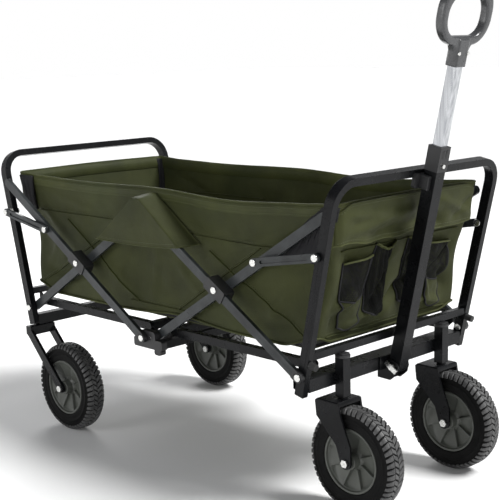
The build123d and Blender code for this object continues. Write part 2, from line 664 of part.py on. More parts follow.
# -------------------------------------------------------------- floor frames
def floor_frame():
    """Front floor frame: a U of square tube, hinged at the hoop end."""
    half = RAIL_SIZE / 2
    hinge_x, hinge_z = FLOOR_HINGE
    rail_side = span_sketch((hinge_x, hinge_z), (FLOOR_TIP_X + half, hinge_z), RAIL_SIZE)
    rail_side &= Pos(FLOOR_TIP_X + 250, hinge_z) * Rectangle(500.0, RAIL_SIZE)
    tip = box_between((FLOOR_TIP_X, FLOOR_TIP_X + RAIL_SIZE), (-RAIL_Y, RAIL_Y),
                      (hinge_z - half, hinge_z + half))
    frame = tip
    core_half = half - 1.5
    for side in (1, -1):
        low = side * RAIL_Y - half
        rail = side_slab(rail_side, low, low + RAIL_SIZE)
        frame += rail
    for side in (1, -1):
        y = side * RAIL_Y
        frame -= box_between((FLOOR_TIP_X + 1.5, hinge_x + 20), (y - core_half, y + core_half),
                             (hinge_z - core_half, hinge_z + core_half))
        frame -= pin_hole(hinge_x, hinge_z, y - half, y + half)
    return frame - box_between((FLOOR_TIP_X + 1.5, FLOOR_TIP_X + RAIL_SIZE - 1.5),
                               (-RAIL_Y, RAIL_Y), (hinge_z - core_half, hinge_z + core_half))


keep("rear_floor_frame", fore_aft(floor_frame()))
keep("front_floor_frame", floor_frame())

# -------------------------------------------------------------------- basket
wall_low_x = hoop_x(BASKET_BOTTOM_Z) - BASKET_SET_BACK
wall_top_x = hoop_x(BASKET_END_Z) - BASKET_SET_BACK
inner_low_x = wall_low_x - FABRIC / cos(radians(LEAN))
inner_top_x = wall_top_x - FABRIC / cos(radians(LEAN))


def side_wall():
    """Left basket wall, flush with the end walls' inner faces."""
    rise = (BASKET_SIDE_Z - BASKET_BOTTOM_Z) / (BASKET_END_Z - BASKET_BOTTOM_Z)
    top_x = inner_low_x + (inner_top_x - inner_low_x) * rise
    outline = Polygon((-inner_low_x, BASKET_BOTTOM_Z), (inner_low_x, BASKET_BOTTOM_Z),
                      (top_x, BASKET_SIDE_Z), (-top_x, BASKET_SIDE_Z), align=None)
    return side_slab(outline, BASKET_HALF_Y - FABRIC, BASKET_HALF_Y)


def end_wall():
    """Front basket wall, parallel to the hoop."""
    outline = Polygon((wall_low_x, BASKET_BOTTOM_Z), (wall_top_x, BASKET_END_Z),
                      (inner_top_x, BASKET_END_Z), (inner_low_x, BASKET_BOTTOM_Z), align=None)
    return side_slab(outline, -BASKET_HALF_Y, BASKET_HALF_Y)


def basket_floor():
    """Padded floor panel between the four walls."""
    top_z = BASKET_BOTTOM_Z + FLOOR_BOARD
    reach = inner_low_x - 0.2
    inside = BASKET_HALF_Y - FABRIC - 0.2
    return box_between((-reach, reach), (-inside, inside), (BASKET_BOTTOM_Z, top_z))


def side_flap():
    """Fabric flap hanging over the left top knuckle."""
    top_z = BASKET_SIDE_Z - 8
    hem_z = TOP_PIVOT_Z - 62
    with BuildSketch() as flap:
        with BuildLine():
            Line((-11, top_z), (11, top_z))
            Line((11, top_z), (104, hem_z))
            ThreePointArc((104, hem_z), (0, hem_z - 15), (-104, hem_z))
            Line((-104, hem_z), (-11, top_z))
        make_face()
    return side_slab(flap.sketch, OUTER_BAR[1] + 4.5, OUTER_BAR[1] + 7.0)


def bottle_pocket():
    """Left mesh pocket: an open-topped pouch against the front wall."""
    lean = radians(LEAN)
    face = Plane(origin=(wall_low_x, 0, BASKET_BOTTOM_Z), x_dir=(0, 1, 0),
                 z_dir=(cos(lean), 0, -sin(lean))).offset(0.5)
    width, height = POCKET_SIZE
    middle = Pos(POCKET_CENTRE[0], (POCKET_CENTRE[1] - BASKET_BOTTOM_Z) / cos(lean))
    pouch = extrude(face * middle * Rectangle(width, height), amount=POCKET_DEPTH)
    hollow = middle * Pos(0, POCKET_WALL) * Rectangle(width - 2 * POCKET_WALL, height)
    return pouch - extrude(face * hollow, amount=POCKET_DEPTH - POCKET_WALL)


keep("basket_walls", *both_sides(side_wall()), end_wall(), fore_aft(end_wall()))
keep("basket_floor", basket_floor())
keep("side_flaps", *both_sides(side_flap()))
keep("bottle_pockets", *both_sides(bottle_pocket()))

# -------------------------------------------------------------------- handle
HANDLE_PLANE = Plane(origin=(HANDLE_PIVOT[0], 0, HANDLE_PIVOT[1]), x_dir=(0, 1, 0),
                     z_dir=(cos(radians(LEAN)), 0, -sin(radians(LEAN))))


def handle_box(size, first, last):
    """A square bar along the handle's axis from distance first to last."""
    outline = Pos(0, (first + last) / 2) * Rectangle(size, last - first)
    return extrude(HANDLE_PLANE * outline, amount=size / 2, both=True)


def lower_tube():
    """Square lower tube with a round heel at its pivot."""
    heel = rod_y(*HANDLE_PIVOT, -LOWER_TUBE / 2, LOWER_TUBE / 2, LOWER_TUBE / 2)
    tube = heel + handle_box(LOWER_TUBE, 0, LOWER_TUBE_LENGTH)
    tube -= handle_box(LOWER_TUBE - 3.0, 16, LOWER_TUBE_LENGTH + 10)
    tube -= button_bore()
    return tube - pin_hole(*HANDLE_PIVOT, -LOWER_TUBE, LOWER_TUBE)


def button_bore():
    """Hole for the lock button in the front face of tube and collar."""
    return extrude(HANDLE_PLANE.offset(LOWER_TUBE / 2 - 2) * (Pos(0, BUTTON_S) * Circle(BUTTON_R + 0.35)),
                   amount=10.0)


def collar():
    """Plastic collar at the lower tube's mouth, with two front slots."""
    body = handle_box(COLLAR_SIZE, *COLLAR_SPAN)
    body -= handle_box(LOWER_TUBE, COLLAR_SPAN[0] - 1, LOWER_TUBE_LENGTH)
    body -= handle_box(INNER_TUBE + 0.6, COLLAR_SPAN[0], COLLAR_SPAN[1] + 5)
    face = HANDLE_PLANE.offset(COLLAR_SIZE / 2 - 0.8)
    for x in (-4.5, 4.5):
        slot = Pos(x, COLLAR_SPAN[1] - 11) * Rot(0, 0, 90) * SlotOverall(13, 4.5)
        body -= extrude(face * slot, amount=3.0)
    return body - button_bore()


def inner_tube():
    """Square telescopic tube."""
    tube = handle_box(INNER_TUBE, *INNER_TUBE_SPAN)
    tube = fillet(tube.edges().sort_by(lambda edge: edge.length)[-4:], 2.5)
    return tube - handle_box(INNER_TUBE - 3.0, INNER_TUBE_SPAN[0] - 1, INNER_TUBE_SPAN[1] + 1)


def grip():
    """D-shaped grip on a flared neck."""
    with BuildSketch() as loop:
        with Locations((0, GRIP_CENTRE + 4)):
            RectangleRounded(140, 106, 48)
        with BuildLine():
            Line((-14, NECK_SPAN[0]), (14, NECK_SPAN[0]))
            Line((14, NECK_SPAN[0]), (17, NECK_SPAN[0] + 14))
            ThreePointArc((17, NECK_SPAN[0] + 14), (27, NECK_SPAN[0] + 38), (46, GRIP_CENTRE - 35))
            Line((46, GRIP_CENTRE - 35), (-46, GRIP_CENTRE - 35))
            ThreePointArc((-46, GRIP_CENTRE - 35), (-27, NECK_SPAN[0] + 38),
                          (-17, NECK_SPAN[0] + 14))
            Line((-17, NECK_SPAN[0] + 14), (-14, NECK_SPAN[0]))
        make_face()
        with Locations((0, GRIP_CENTRE)):
            RectangleRounded(108, 66, 30, mode=Mode.SUBTRACT)
    body = extrude(HANDLE_PLANE * loop.sketch, amount=GRIP_DEPTH / 2, both=True)
    faces = body.faces().filter_by(lambda face: abs(face.normal_at().dot(HANDLE_PLANE.z_dir)) > 0.99)
    body = fillet(faces.edges(), 4.5)
    neck = Pos(0, (NECK_SPAN[0] + NECK_SPAN[1]) / 2) * Rectangle(28, NECK_SPAN[1] - NECK_SPAN[0])
    body += extrude(HANDLE_PLANE * neck, amount=12.0, both=True)
    return body - handle_box(INNER_TUBE, NECK_SPAN[0] - 5, INNER_TUBE_SPAN[1])


def grip_screws():
    """Two pan-head screws in the front of the neck."""
    face = HANDLE_PLANE.offset(12.0)
    return [extrude(face * (Pos(x, NECK_SPAN[0] + 24) * Circle(3.2)), amount=1.6)
            for x in (-12.5, 12.5)]


def lock_button():
    """Spring button standing out of the collar."""
    disc = Pos(0, BUTTON_S) * Circle(BUTTON_R)
    body = extrude(HANDLE_PLANE.offset(INNER_TUBE / 2 + 0.2 + BUTTON_TRAVEL) * disc, amount=4.4)
    return fillet(body.faces().sort_by(Axis.X)[-1].edges(), 1.2)


keep("handle_lower_tube", lower_tube())
keep("handle_collar", collar())
keep("lock_button", lock_button())
keep("handle_inner_tube", inner_tube())
keep("handle_grip", grip())
keep("grip_screws", *grip_screws())


# --------------------------------------------------------------------- output
def origin_shift():
    """X that puts the origin under the middle of the whole wagon."""
    boxes = [shape.bounding_box() for shape in PARTS.values()]
    low = min(box.min.X for box in boxes)
    high = max(box.max.X for box in boxes)
    return -(low + high) / 2


SHIFT_X = origin_shift()
os.makedirs("parts", exist_ok=True)
for node, shape in PARTS.items():
    export_step(Pos(SHIFT_X, 0, 0) * shape, "parts/" + node + ".step")
print(len(PARTS), "nodes, origin shift", round(SHIFT_X, 3))
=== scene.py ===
"""The looks of the folding camp wagon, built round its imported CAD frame."""

import json
from bisect import bisect_left
from math import atan2, cos, exp, pi, radians, sin, tan

import bmesh
import bpy
from mathutils import Matrix, Vector, noise

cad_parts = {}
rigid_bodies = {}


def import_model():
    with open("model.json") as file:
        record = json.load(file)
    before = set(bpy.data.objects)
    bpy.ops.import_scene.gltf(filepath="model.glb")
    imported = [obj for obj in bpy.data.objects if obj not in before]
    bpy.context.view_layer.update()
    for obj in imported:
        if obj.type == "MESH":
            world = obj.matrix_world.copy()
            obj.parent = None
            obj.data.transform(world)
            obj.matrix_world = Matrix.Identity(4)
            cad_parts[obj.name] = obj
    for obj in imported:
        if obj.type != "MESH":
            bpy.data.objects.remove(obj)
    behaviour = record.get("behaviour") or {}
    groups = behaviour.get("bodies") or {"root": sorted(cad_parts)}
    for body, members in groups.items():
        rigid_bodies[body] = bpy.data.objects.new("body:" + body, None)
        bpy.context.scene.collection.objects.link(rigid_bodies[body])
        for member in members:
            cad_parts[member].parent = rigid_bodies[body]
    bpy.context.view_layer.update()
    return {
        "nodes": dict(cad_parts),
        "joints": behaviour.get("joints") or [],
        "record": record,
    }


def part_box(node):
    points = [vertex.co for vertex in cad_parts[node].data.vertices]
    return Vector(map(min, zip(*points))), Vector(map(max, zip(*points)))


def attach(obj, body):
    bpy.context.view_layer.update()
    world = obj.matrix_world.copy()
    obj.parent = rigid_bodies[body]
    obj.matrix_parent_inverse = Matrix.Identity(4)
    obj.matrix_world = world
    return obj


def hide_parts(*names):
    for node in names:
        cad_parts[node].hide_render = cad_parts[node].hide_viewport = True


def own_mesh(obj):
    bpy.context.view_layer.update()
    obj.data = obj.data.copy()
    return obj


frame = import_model()
NODES = frame["nodes"]
JOINTS = {joint["name"]: joint for joint in frame["joints"]}


def joint_point(name):
    """A joint's place in the row frame."""
    return Vector(JOINTS[name]["pos_m"])


# ---------------------------------------------------------------- dimensions
X_MID = (joint_point("top_rear_pivot").x + joint_point("top_front_pivot").x) / 2
FOOT = joint_point("front_foot_pivot")
CROSS = joint_point("front_cross_pivot")
TOP_PIVOT = joint_point("top_front_pivot")
LEAN = atan2(JOINTS["handle_slide"]["axis"][0], JOINTS["handle_slide"]["axis"][2])
SLOPE = tan(LEAN)
HOOP_FOOT_X = 0.417
HOOP_FOOT_Z = 0.228
BAR_ANGLE = atan2(CROSS.z - FOOT.z, FOOT.x - CROSS.x)

WALL_Y = 0.2115           # outer face of the side walls
WALL_SET_BACK = 0.012     # end walls behind the hoops' centreline
WALL_LOW_Z = 0.305
WALL_END_Z = 0.567
FLAP_HEM_Z = 0.493
FLAP_HALF_Y = 0.204
CORNER_R = 0.014
CORNER_INSET = 0.003      # the corners stand this far inside the side walls' faces
PINCH = 0.020             # how far the corners are drawn in at mid height
BASKET_KEEP = 0.33        # share of the open length left when folded
HOOD_KEEP = 0.42          # the hoods stay wider, to clear the bars under them

WHEEL_R = 0.098
TREAD_PITCHES = 52
WHEEL_TURN = {"left": 0.37, "right": 1.13}


def hoop_x(z):
    """How far the hoops' centreline stands from the middle plane at height z."""
    return HOOP_FOOT_X + (z - HOOP_FOOT_Z) * SLOPE


def smooth(low, high, value):
    """0 below low, 1 above high, and smooth between."""
    t = min(1.0, max(0.0, (value - low) / (high - low)))
    return t * t * (3 - 2 * t)


def bump(value, centre, width):
    """A bell of height 1."""
    return exp(-((value - centre) / width) ** 2)


# ------------------------------------------------------------------ materials
class Shader:
    """A node material, built one node at a time."""

    def __init__(self, name, **values):
        self.material = bpy.data.materials.new(name)
        self.material.use_nodes = True
        self.tree = self.material.node_tree
        self.base = self.tree.nodes["Principled BSDF"]
        self.coords = self.add("ShaderNodeTexCoord").outputs["Object"]
        for key, value in values.items():
            self.base.inputs[key.replace("_", " ")].default_value = value

    def add(self, kind, inputs=None, **settings):
        node = self.tree.nodes.new(kind)
        for key, value in settings.items():
            setattr(node, key, value)
        for key, value in (inputs or {}).items():
            self.put(value, node.inputs[key])
        return node

    def put(self, value, socket):
        if isinstance(value, bpy.types.NodeSocket):
            self.tree.links.new(value, socket)
        else:
            socket.default_value = value

    def math(self, operation, first, second=0.0, clamp=False):
        node = self.add("ShaderNodeMath", {0: first, 1: second}, operation=operation)
        node.use_clamp = clamp
        return node.outputs[0]

    def noise(self, scale, detail=3.0, rough=0.55, stretch=(1, 1, 1)):
        where = self.add("ShaderNodeMapping", {"Vector": self.coords, "Scale": stretch}).outputs[0]
        inputs = {"Vector": where, "Scale": scale, "Detail": detail, "Roughness": rough}
        return self.add("ShaderNodeTexNoise", inputs).outputs["Fac"]

    def wave(self, direction, period):
        inputs = {"Vector": self.coords, "Scale": 2 * pi / (20 * period)}
        return self.add("ShaderNodeTexWave", inputs, bands_direction=direction).outputs["Fac"]

    def ramp(self, value, stops):
        node = self.add("ShaderNodeValToRGB", {"Fac": value})
        ramp = node.color_ramp
        ramp.elements[0].position, ramp.elements[0].color = stops[0][0], (*stops[0][1], 1)
        ramp.elements[1].position, ramp.elements[1].color = stops[-1][0], (*stops[-1][1], 1)
        for place, color in stops[1:-1]:
            ramp.elements.new(place).color = (*color, 1)
        return node.outputs["Color"]

    def span(self, value, low, high):
        inputs = {"Value": value, "To Min": low, "To Max": high}
        return self.add("ShaderNodeMapRange", inputs).outputs["Result"]

    def mix(self, share, first, second):
        node = self.add("ShaderNodeMix", data_type="RGBA")
        self.put(share, node.inputs[0])
        self.put(first, node.inputs[6])
        self.put(second, node.inputs[7])
        return node.outputs[2]

    def color(self, socket):
        self.put(socket, self.base.inputs["Base Color"])

    def rough(self, socket):
        self.put(socket, self.base.inputs["Roughness"])

    def relief(self, height, distance, strength=1.0, under=None):
        inputs = {"Height": height, "Distance": distance, "Strength": strength}
        if under:
            inputs["Normal"] = under
        normal = self.add("ShaderNodeBump", inputs).outputs["Normal"]
        self.put(normal, self.base.inputs["Normal"])
        return normal


def coated_steel():
    """Black powder coat: orange peel, faint dust, slightly uneven gloss."""
    s = Shader("coated_steel", Specular_IOR_Level=0.15)
    mottle = s.noise(14, 5)
    s.color(s.ramp(mottle, [(0.35, (0.0035, 0.0036, 0.0042)), (0.75, (0.0085, 0.0090, 0.0100))]))
    s.rough(s.span(s.noise(30, 4), 0.20, 0.36))
    s.relief(s.noise(900, 2), 0.00025, 0.5)
    return s.material


def bar_steel_painted_sheen():
    """The scissor bars' black coat with a painted sheen: a greyer base than the other coated steel stands in
    for the light the bars reflect, mottled at random.
    """
    s = Shader("bar_steel_painted_sheen", Specular_IOR_Level=0.32)
    sheen_mottle = s.noise(26, 5, 0.6)
    # painted sheen: this greyer ramp lightens the black coat, standing in for the light the real bars
    # reflect
    s.color(s.ramp(sheen_mottle, [(0.3, (0.012, 0.014, 0.015)), (0.8, (0.042, 0.047, 0.049))]))
    s.rough(s.span(s.noise(40, 4), 0.22, 0.38))
    s.relief(s.noise(800, 2), 0.00025, 0.5)
    return s.material


def bright_tube():
    """Plated telescopic tube with fine lengthwise draw lines."""
    s = Shader("bright_tube", Metallic=1.0)
    lines = s.noise(260, 3, 0.5, (1, 1, 0.03))
    s.color(s.ramp(lines, [(0.3, (0.36, 0.37, 0.39)), (0.7, (0.66, 0.67, 0.69))]))
    s.rough(s.span(lines, 0.12, 0.26))
    s.relief(lines, 0.0001, 0.25)
    return s.material


def zinc():
    """Zinc-plated fasteners."""
    s = Shader("zinc", Metallic=1.0)
    grain = s.noise(420, 3)
    s.color(s.ramp(grain, [(0.3, (0.60, 0.60, 0.58)), (0.7, (0.82, 0.82, 0.80))]))
    s.rough(s.span(grain, 0.18, 0.36))
    s.relief(grain, 0.0001, 0.3)
    return s.material


def moulded(name, dark, light, rough, grain=1400.0, **values):
    """Moulded plastic with a fine eroded grain."""
    s = Shader(name, **values)
    s.color(s.ramp(s.noise(24, 4), [(0.3, dark), (0.75, light)]))
    s.rough(s.span(s.noise(60, 3), rough - 0.06, rough + 0.08))
    s.relief(s.noise(grain, 2), 0.00015, 0.5)
    return s.material


def tyre_rubber():
    """Dull black rubber; the tread blocks are a lighter grey."""
    s = Shader("tyre_rubber", Specular_IOR_Level=0.10)
    mottle = s.noise(45, 6, 0.65)
    s.color(s.ramp(mottle, [(0.35, (0.0035, 0.0035, 0.0035)), (0.8, (0.010, 0.010, 0.010))]))
    s.rough(s.span(mottle, 0.55, 0.8))
    s.relief(s.noise(700, 3), 0.0003, 0.6)
    return s.material


def tread_rubber():
    """Tread blocks, lighter grey than the sidewall, mottled at random."""
    s = Shader("tread_rubber", Specular_IOR_Level=0.5)
    mottle = s.noise(60, 6, 0.65)
    s.color(s.ramp(mottle, [(0.3, (0.026, 0.026, 0.027)), (0.8, (0.110, 0.110, 0.108))]))
    s.rough(s.span(mottle, 0.42, 0.62))
    s.relief(s.noise(500, 4), 0.0005, 0.7)
    return s.material


def weave(s, period):
    """Plain-weave height from three crossing thread directions."""
    across = s.math("MULTIPLY", s.wave("X", period), s.wave("Z", period))
    return s.math("ADD", across, s.math("MULTIPLY", s.wave("Y", period), 0.7))


def canvas(name, dark, light, green, rough=0.62):
    """Coated polyester canvas: weave, slubs, creases and uneven dye."""
    s = Shader(name, Specular_IOR_Level=0.16, Sheen_Weight=0.03, Sheen_Roughness=0.5)
    dye = s.ramp(s.noise(7, 4, 0.6), [(0.3, dark), (0.7, light)])
    bottle = s.ramp(s.noise(3.1, 2), [(0.45, (0, 0, 0)), (0.75, (0.55, 0.55, 0.55))])
    dyed = s.mix(bottle, dye, (*green, 1))
    thread = weave(s, 0.0011)
    slub = s.noise(320, 3, 0.6, (1, 1, 5))
    s.color(s.mix(s.span(slub, 0.0, 0.22), dyed, (*[c * 0.45 for c in dark], 1)))
    s.rough(s.span(s.noise(18, 4), rough - 0.08, rough + 0.1))
    crease = s.relief(s.noise(42, 5, 0.6), 0.0022, 0.35)
    s.relief(thread, 0.00022, 0.55, crease)
    return s.material


def webbing():
    """Black ribbed webbing."""
    s = Shader("webbing", Specular_IOR_Level=0.12)
    color = (0.012, 0.012, 0.013)
    rib = s.math("ADD", s.wave("Z", 0.0021), s.math("MULTIPLY", s.wave("X", 0.0012), 0.5))
    lighter = tuple(c * 2.4 for c in color)
    s.color(s.ramp(rib, [(0.2, color), (1.0, lighter)]))
    s.rough(s.span(s.noise(90, 3), 0.6, 0.85))
    s.relief(rib, 0.0004, 0.6)
    return s.material


def net():
    """Black knitted mesh, the olive cloth showing through its holes."""
    s = Shader("net", Specular_IOR_Level=0.04)
    inputs = {"Vector": s.coords, "Scale": 330.0, "Randomness": 0.25}
    cell = s.add("ShaderNodeTexVoronoi", inputs, feature="DISTANCE_TO_EDGE").outputs["Distance"]
    hole = s.math("MULTIPLY", s.math("SUBTRACT", cell, 0.12), 6.0, clamp=True)
    loose = s.noise(25, 3)
    behind = s.ramp(loose, [(0.40, (0.005, 0.006, 0.004)), (0.80, (0.038, 0.042, 0.018))])
    s.color(s.mix(hole, (0.008, 0.008, 0.008, 1), behind))
    s.rough(s.span(hole, 0.5, 0.85))
    s.relief(s.math("SUBTRACT", 1.0, hole), 0.0006, 0.8)
    return s.material


def thread_material():
    """Sewing thread, a shade lighter than the cloth."""
    s = Shader("thread", Specular_IOR_Level=0.3)
    twist = s.noise(1600, 2)
    s.color(s.ramp(twist, [(0.3, (0.060, 0.066, 0.030)), (0.7, (0.12, 0.13, 0.07))]))
    s.rough(s.span(twist, 0.5, 0.75))
    s.relief(twist, 0.0002, 0.6)
    return s.material


OLIVE_DARK = (0.0230, 0.0265, 0.0080)
OLIVE_LIGHT = (0.0500, 0.0560, 0.0165)
BOTTLE = (0.0150, 0.0270, 0.0110)
STEEL = coated_steel()
BAR = bar_steel_painted_sheen()
TUBE = bright_tube()
ZINC = zinc()
BLACK_PLASTIC = moulded("black_plastic", (0.008, 0.008, 0.009), (0.018, 0.018, 0.019), 0.48)
GREY_PLASTIC = moulded("grip_plastic", (0.040, 0.041, 0.043), (0.062, 0.063, 0.066), 0.26,
                       Coat_Weight=0.25, Coat_Roughness=0.18)
RIM_PLASTIC = moulded("rim_plastic", (0.052, 0.056, 0.048), (0.080, 0.085, 0.074), 0.42)
SOFT_RUBBER = moulded("soft_rubber", (0.010, 0.010, 0.010), (0.020, 0.020, 0.020), 0.7, 700.0)
TYRE = tyre_rubber()
TREAD = tread_rubber()
CANVAS = canvas("canvas", OLIVE_DARK, OLIVE_LIGHT, BOTTLE)
HEM = canvas("hem_canvas", tuple(c * 1.25 for c in OLIVE_DARK),
             tuple(c * 1.3 for c in OLIVE_LIGHT), BOTTLE, 0.55)
WEBBING = webbing()
NET = net()
THREAD = thread_material()


# ------------------------------------------------------------------- meshing
def make_object(name, verts, faces, materials, smooth_faces=True):
    """A mesh object from lists of points and faces."""
    mesh = bpy.data.meshes.new(name)
    mesh.from_pydata([tuple(v) for v in verts], [], faces)
    mesh.update()
    for material in materials if isinstance(materials, (list, tuple)) else [materials]:
        mesh.materials.append(material)
    for polygon in mesh.polygons:
        polygon.use_smooth = smooth_faces
    obj = bpy.data.objects.new(name, mesh)
    bpy.context.scene.collection.objects.link(obj)
    return obj


def recalc(obj):
    """Point every face outward."""
    bm = bmesh.new()
    bm.from_mesh(obj.data)
    bmesh.ops.recalc_face_normals(bm, faces=bm.faces)
    bm.to_mesh(obj.data)
    bm.free()
    return obj


def grid_faces(columns, rows, close_columns=False, close_rows=False, first=0):
    """Quads of a grid whose points are stored row by row, from point number first."""
    faces = []
    for r in range(rows if close_rows else rows - 1):
        near = first + r * columns
        far = first + (r + 1) % rows * columns
        for c in range(columns if close_columns else columns - 1):
            d = (c + 1) % columns
            faces.append((near + c, near + d, far + d, far + c))
    return faces


def merge(parts):
    """One list of points and one of faces, from several pairs of them."""
    verts, faces = [], []
    for more_verts, more_faces in parts:
        shift = len(verts)
        verts += more_verts
        faces += [tuple(shift + i for i in face) for face in more_faces]
    return verts, faces


def modifier(obj, kind, **settings):
    """Add a modifier with its settings."""
    made = obj.modifiers.new(kind.title(), kind)
    for key, value in settings.items():
        setattr(made, key, value)
    return made


def thicken(obj, thickness, offset=-1.0):
    """Give a sheet its thickness."""
    return modifier(obj, "SOLIDIFY", thickness=thickness, offset=offset, use_rim=True)


def cloth_grid(name, columns, rows, place, material, thickness=0.0016, offset=-1.0):
    """A sheet whose point at (u, v), each 0 to 1, is place(u, v)."""
    verts = [place(c / (columns - 1), r / (rows - 1)) for r in range(rows) for c in range(columns)]
    obj = make_object(name, verts, grid_faces(columns, rows), material)
    thicken(obj, thickness, offset)
    return obj


def tube_along(name, points, radius, material, sides=8, closed=False, flat=1.0):
    """A tube, or a flattened strip, swept along points."""
    count = len(points)
    verts = []
    side = None
    for i, point in enumerate(points):
        ahead = points[(i + 1) % count] if closed or i + 1 < count else point
        behind = points[i - 1] if closed or i else point
        along = (ahead - behind).normalized()
        guide = side or Vector((0, 0, 1) if abs(along.z) < 0.9 else (1, 0, 0))
        cross = along.cross(guide).normalized()
        lift = cross.cross(along).normalized()
        side = lift
        for k in range(sides):
            a = 2 * pi * k / sides
            verts.append(point + cross * cos(a) * radius + lift * sin(a) * radius * flat)
    faces = grid_faces(sides, count, True, closed)
    if not closed:
        faces += [tuple(range(sides))[::-1], tuple((count - 1) * sides + k for k in range(sides))]
    return make_object(name, verts, faces, material)


def join(name, objects):
    """One object from several, keeping their materials."""
    for other in bpy.context.selected_objects:
        other.select_set(False)
    for obj in objects:
        obj.select_set(True)
    bpy.context.view_layer.objects.active = objects[0]
    with bpy.context.temp_override(active_object=objects[0], selected_editable_objects=objects):
        bpy.ops.object.join()
    objects[0].name = name
    objects[0].data.name = name
    return objects[0]


def settle(obj):
    """Apply every modifier."""
    graph = bpy.context.evaluated_depsgraph_get()
    graph.update()
    mesh = bpy.data.meshes.new_from_object(obj.evaluated_get(graph))
    obj.modifiers.clear()
    old = obj.data
    obj.data = mesh
    bpy.data.meshes.remove(old)
    return obj


# ------------------------------------------------------------ CAD frame looks
def dress(node, material, bevel=0.0011):
    """Give a CAD node its material, and rounded edges where a real one has them."""
    obj = NODES[node]
    obj.data.materials.clear()
    obj.data.materials.append(material)
    if "custom_normal" in obj.data.attributes:
        obj.data.attributes.remove(obj.data.attributes["custom_normal"])
    for polygon in obj.data.polygons:
        polygon.use_smooth = True
    modifier(obj, "WELD", merge_threshold=0.00002)
    modifier(obj, "BEVEL", width=bevel, segments=2, limit_method="ANGLE", angle_limit=radians(38),
             harden_normals=True)
    return obj


LOOKS = {
    "black_coated_steel": (STEEL, 0.0014),
    "bright_tube": (TUBE, 0.0006),
    "zinc_steel": (ZINC, 0.0005),
    "black_plastic": (BLACK_PLASTIC, 0.0010),
    "grip_plastic": (GREY_PLASTIC, 0.0010),
    "rim_plastic": (RIM_PLASTIC, 0.0008),
    "tyre_rubber": (TYRE, 0.0008),
    "black_rubber": (SOFT_RUBBER, 0.0012),
    "olive_fabric": (CANVAS, 0.0010),
    "black_mesh": (NET, 0.0010),
}
for part in frame["record"]["subparts"]:
    look, bevel = LOOKS[part["material_slot"]]
    # the bars and links take the greyer coat with its painted sheen; the other coated steel stays black
    dress(part["node"], BAR if part["node"].endswith(("_bars", "_links")) else look, bevel)


# -------------------------------------------------------------------- camera
def make_camera():
    """The viewing angle of a person standing off the front right corner."""
    azimuth, elevation, roll = radians(45.839), radians(12.587), radians(-1.533)
    back = Vector((sin(azimuth) * cos(elevation), -cos(azimuth) * cos(elevation), sin(elevation)))
    level = Vector((cos(azimuth), sin(azimuth), 0))
    rise = back.cross(level)
    right = level * cos(roll) + rise * sin(roll)
    up = rise * cos(roll) - level * sin(roll)
    camera = bpy.data.objects.new("camera", bpy.data.cameras.new("camera"))
    turn = Matrix((right, up, back)).transposed().to_4x4()
    eye = Vector((X_MID + 1.7256, -1.6161, 0.8306))
    camera.matrix_world = Matrix.Translation(eye) @ turn
    camera.data.sensor_width = 36.0
    camera.data.lens = 80.88
    camera.data.shift_x = -0.0058
    camera.data.shift_y = 0.0962
    bpy.context.scene.collection.objects.link(camera)
    bpy.context.scene.camera = camera


FLOOR_HALF = 30.0
SUN_DIRECTION = Vector((-0.85, -0.50, -1.25))
LAMP_AIM = Vector((0, 0, 0.35))
LAMPS = {                  # place, size in metres, power in watts
    "fill": ((-0.6, -3.4, 1.5), 1.6, 30),
    "rim": ((-2.6, 1.6, 2.2), 1.4, 40),
}


def make_floor_sheet():
    """The pale floor that the wagon stands on."""
    corners = [(x * FLOOR_HALF, y * FLOOR_HALF, 0) for x, y in ((-1, -1), (1, -1), (1, 1), (-1, 1))]
    floor = make_object("floor", corners, [(0, 1, 2, 3)], [])
    s = Shader("floor_paint", Specular_IOR_Level=0.2)
    s.color(s.ramp(s.noise(0.8, 2), [(0.2, (0.86, 0.86, 0.855)), (0.8, (0.90, 0.90, 0.895))]))
    s.rough(s.span(s.noise(2.0, 3), 0.75, 0.9))
    floor.data.materials.append(s.material)


def make_sky():
    """White at the horizon and dark overhead, so that the black bars keep their shape."""
    world = bpy.data.worlds.new("studio")
    world.use_nodes = True
    sky = world.node_tree
    coords = sky.nodes.new("ShaderNodeTexCoord").outputs["Generated"]
    height = sky.nodes.new("ShaderNodeSeparateXYZ")
    sky.links.new(coords, height.inputs[0])
    fade = sky.nodes.new("ShaderNodeValToRGB")
    horizon, overhead = fade.color_ramp.elements
    horizon.position = 0.10
    horizon.color = (1.0, 1.0, 1.0, 1)
    overhead.position = 0.45
    overhead.color = (0.16, 0.165, 0.175, 1)
    sky.links.new(height.outputs["Z"], fade.inputs[0])
    sky.links.new(fade.outputs[0], sky.nodes["Background"].inputs["Color"])
    bpy.context.scene.world = world


def add_light(name, kind, direction, **settings):
    """A light that shines along a direction."""
    light = bpy.data.objects.new(name, bpy.data.lights.new(name, kind))
    for key, value in settings.items():
        setattr(light.data, key, value)
    light.rotation_mode = "QUATERNION"
    light.rotation_quaternion = direction.to_track_quat("-Z", "Y")
    bpy.context.scene.collection.objects.link(light)
    return light


def make_stage():
    """Pale floor that runs into the pale surroundings, and soft studio light."""
    make_floor_sheet()
    make_sky()
    bpy.context.scene.view_settings.view_transform = "Standard"
    add_light("sun", "SUN", SUN_DIRECTION, energy=4.2, angle=radians(25))
    for name, (place, size, power) in LAMPS.items():
        lamp = add_light(name, "AREA", LAMP_AIM - Vector(place), size=size, energy=power)
        lamp.location = place


make_camera()
make_stage()


# -------------------------------------------------------------------- basket
def wall_x(z):
    """The end walls' outer face, from the middle plane."""
    return hoop_x(z) - WALL_SET_BACK


def folds(items, a, z):
    """Height of listed tension folds: each runs from one point to another."""
    total = 0.0
    for (a0, z0), (a1, z1), width, height in items:
        run = Vector((a1 - a0, z1 - z0))
        t = ((a - a0) * run.x + (z - z0) * run.y) / run.length_squared
        off = abs((a - a0) * run.y - (z - z0) * run.x) / run.length
        ends = smooth(-0.08, 0.25, t) * (1 - smooth(0.75, 1.08, t))
        total += height * bump(off, 0, width) * ends
    return total


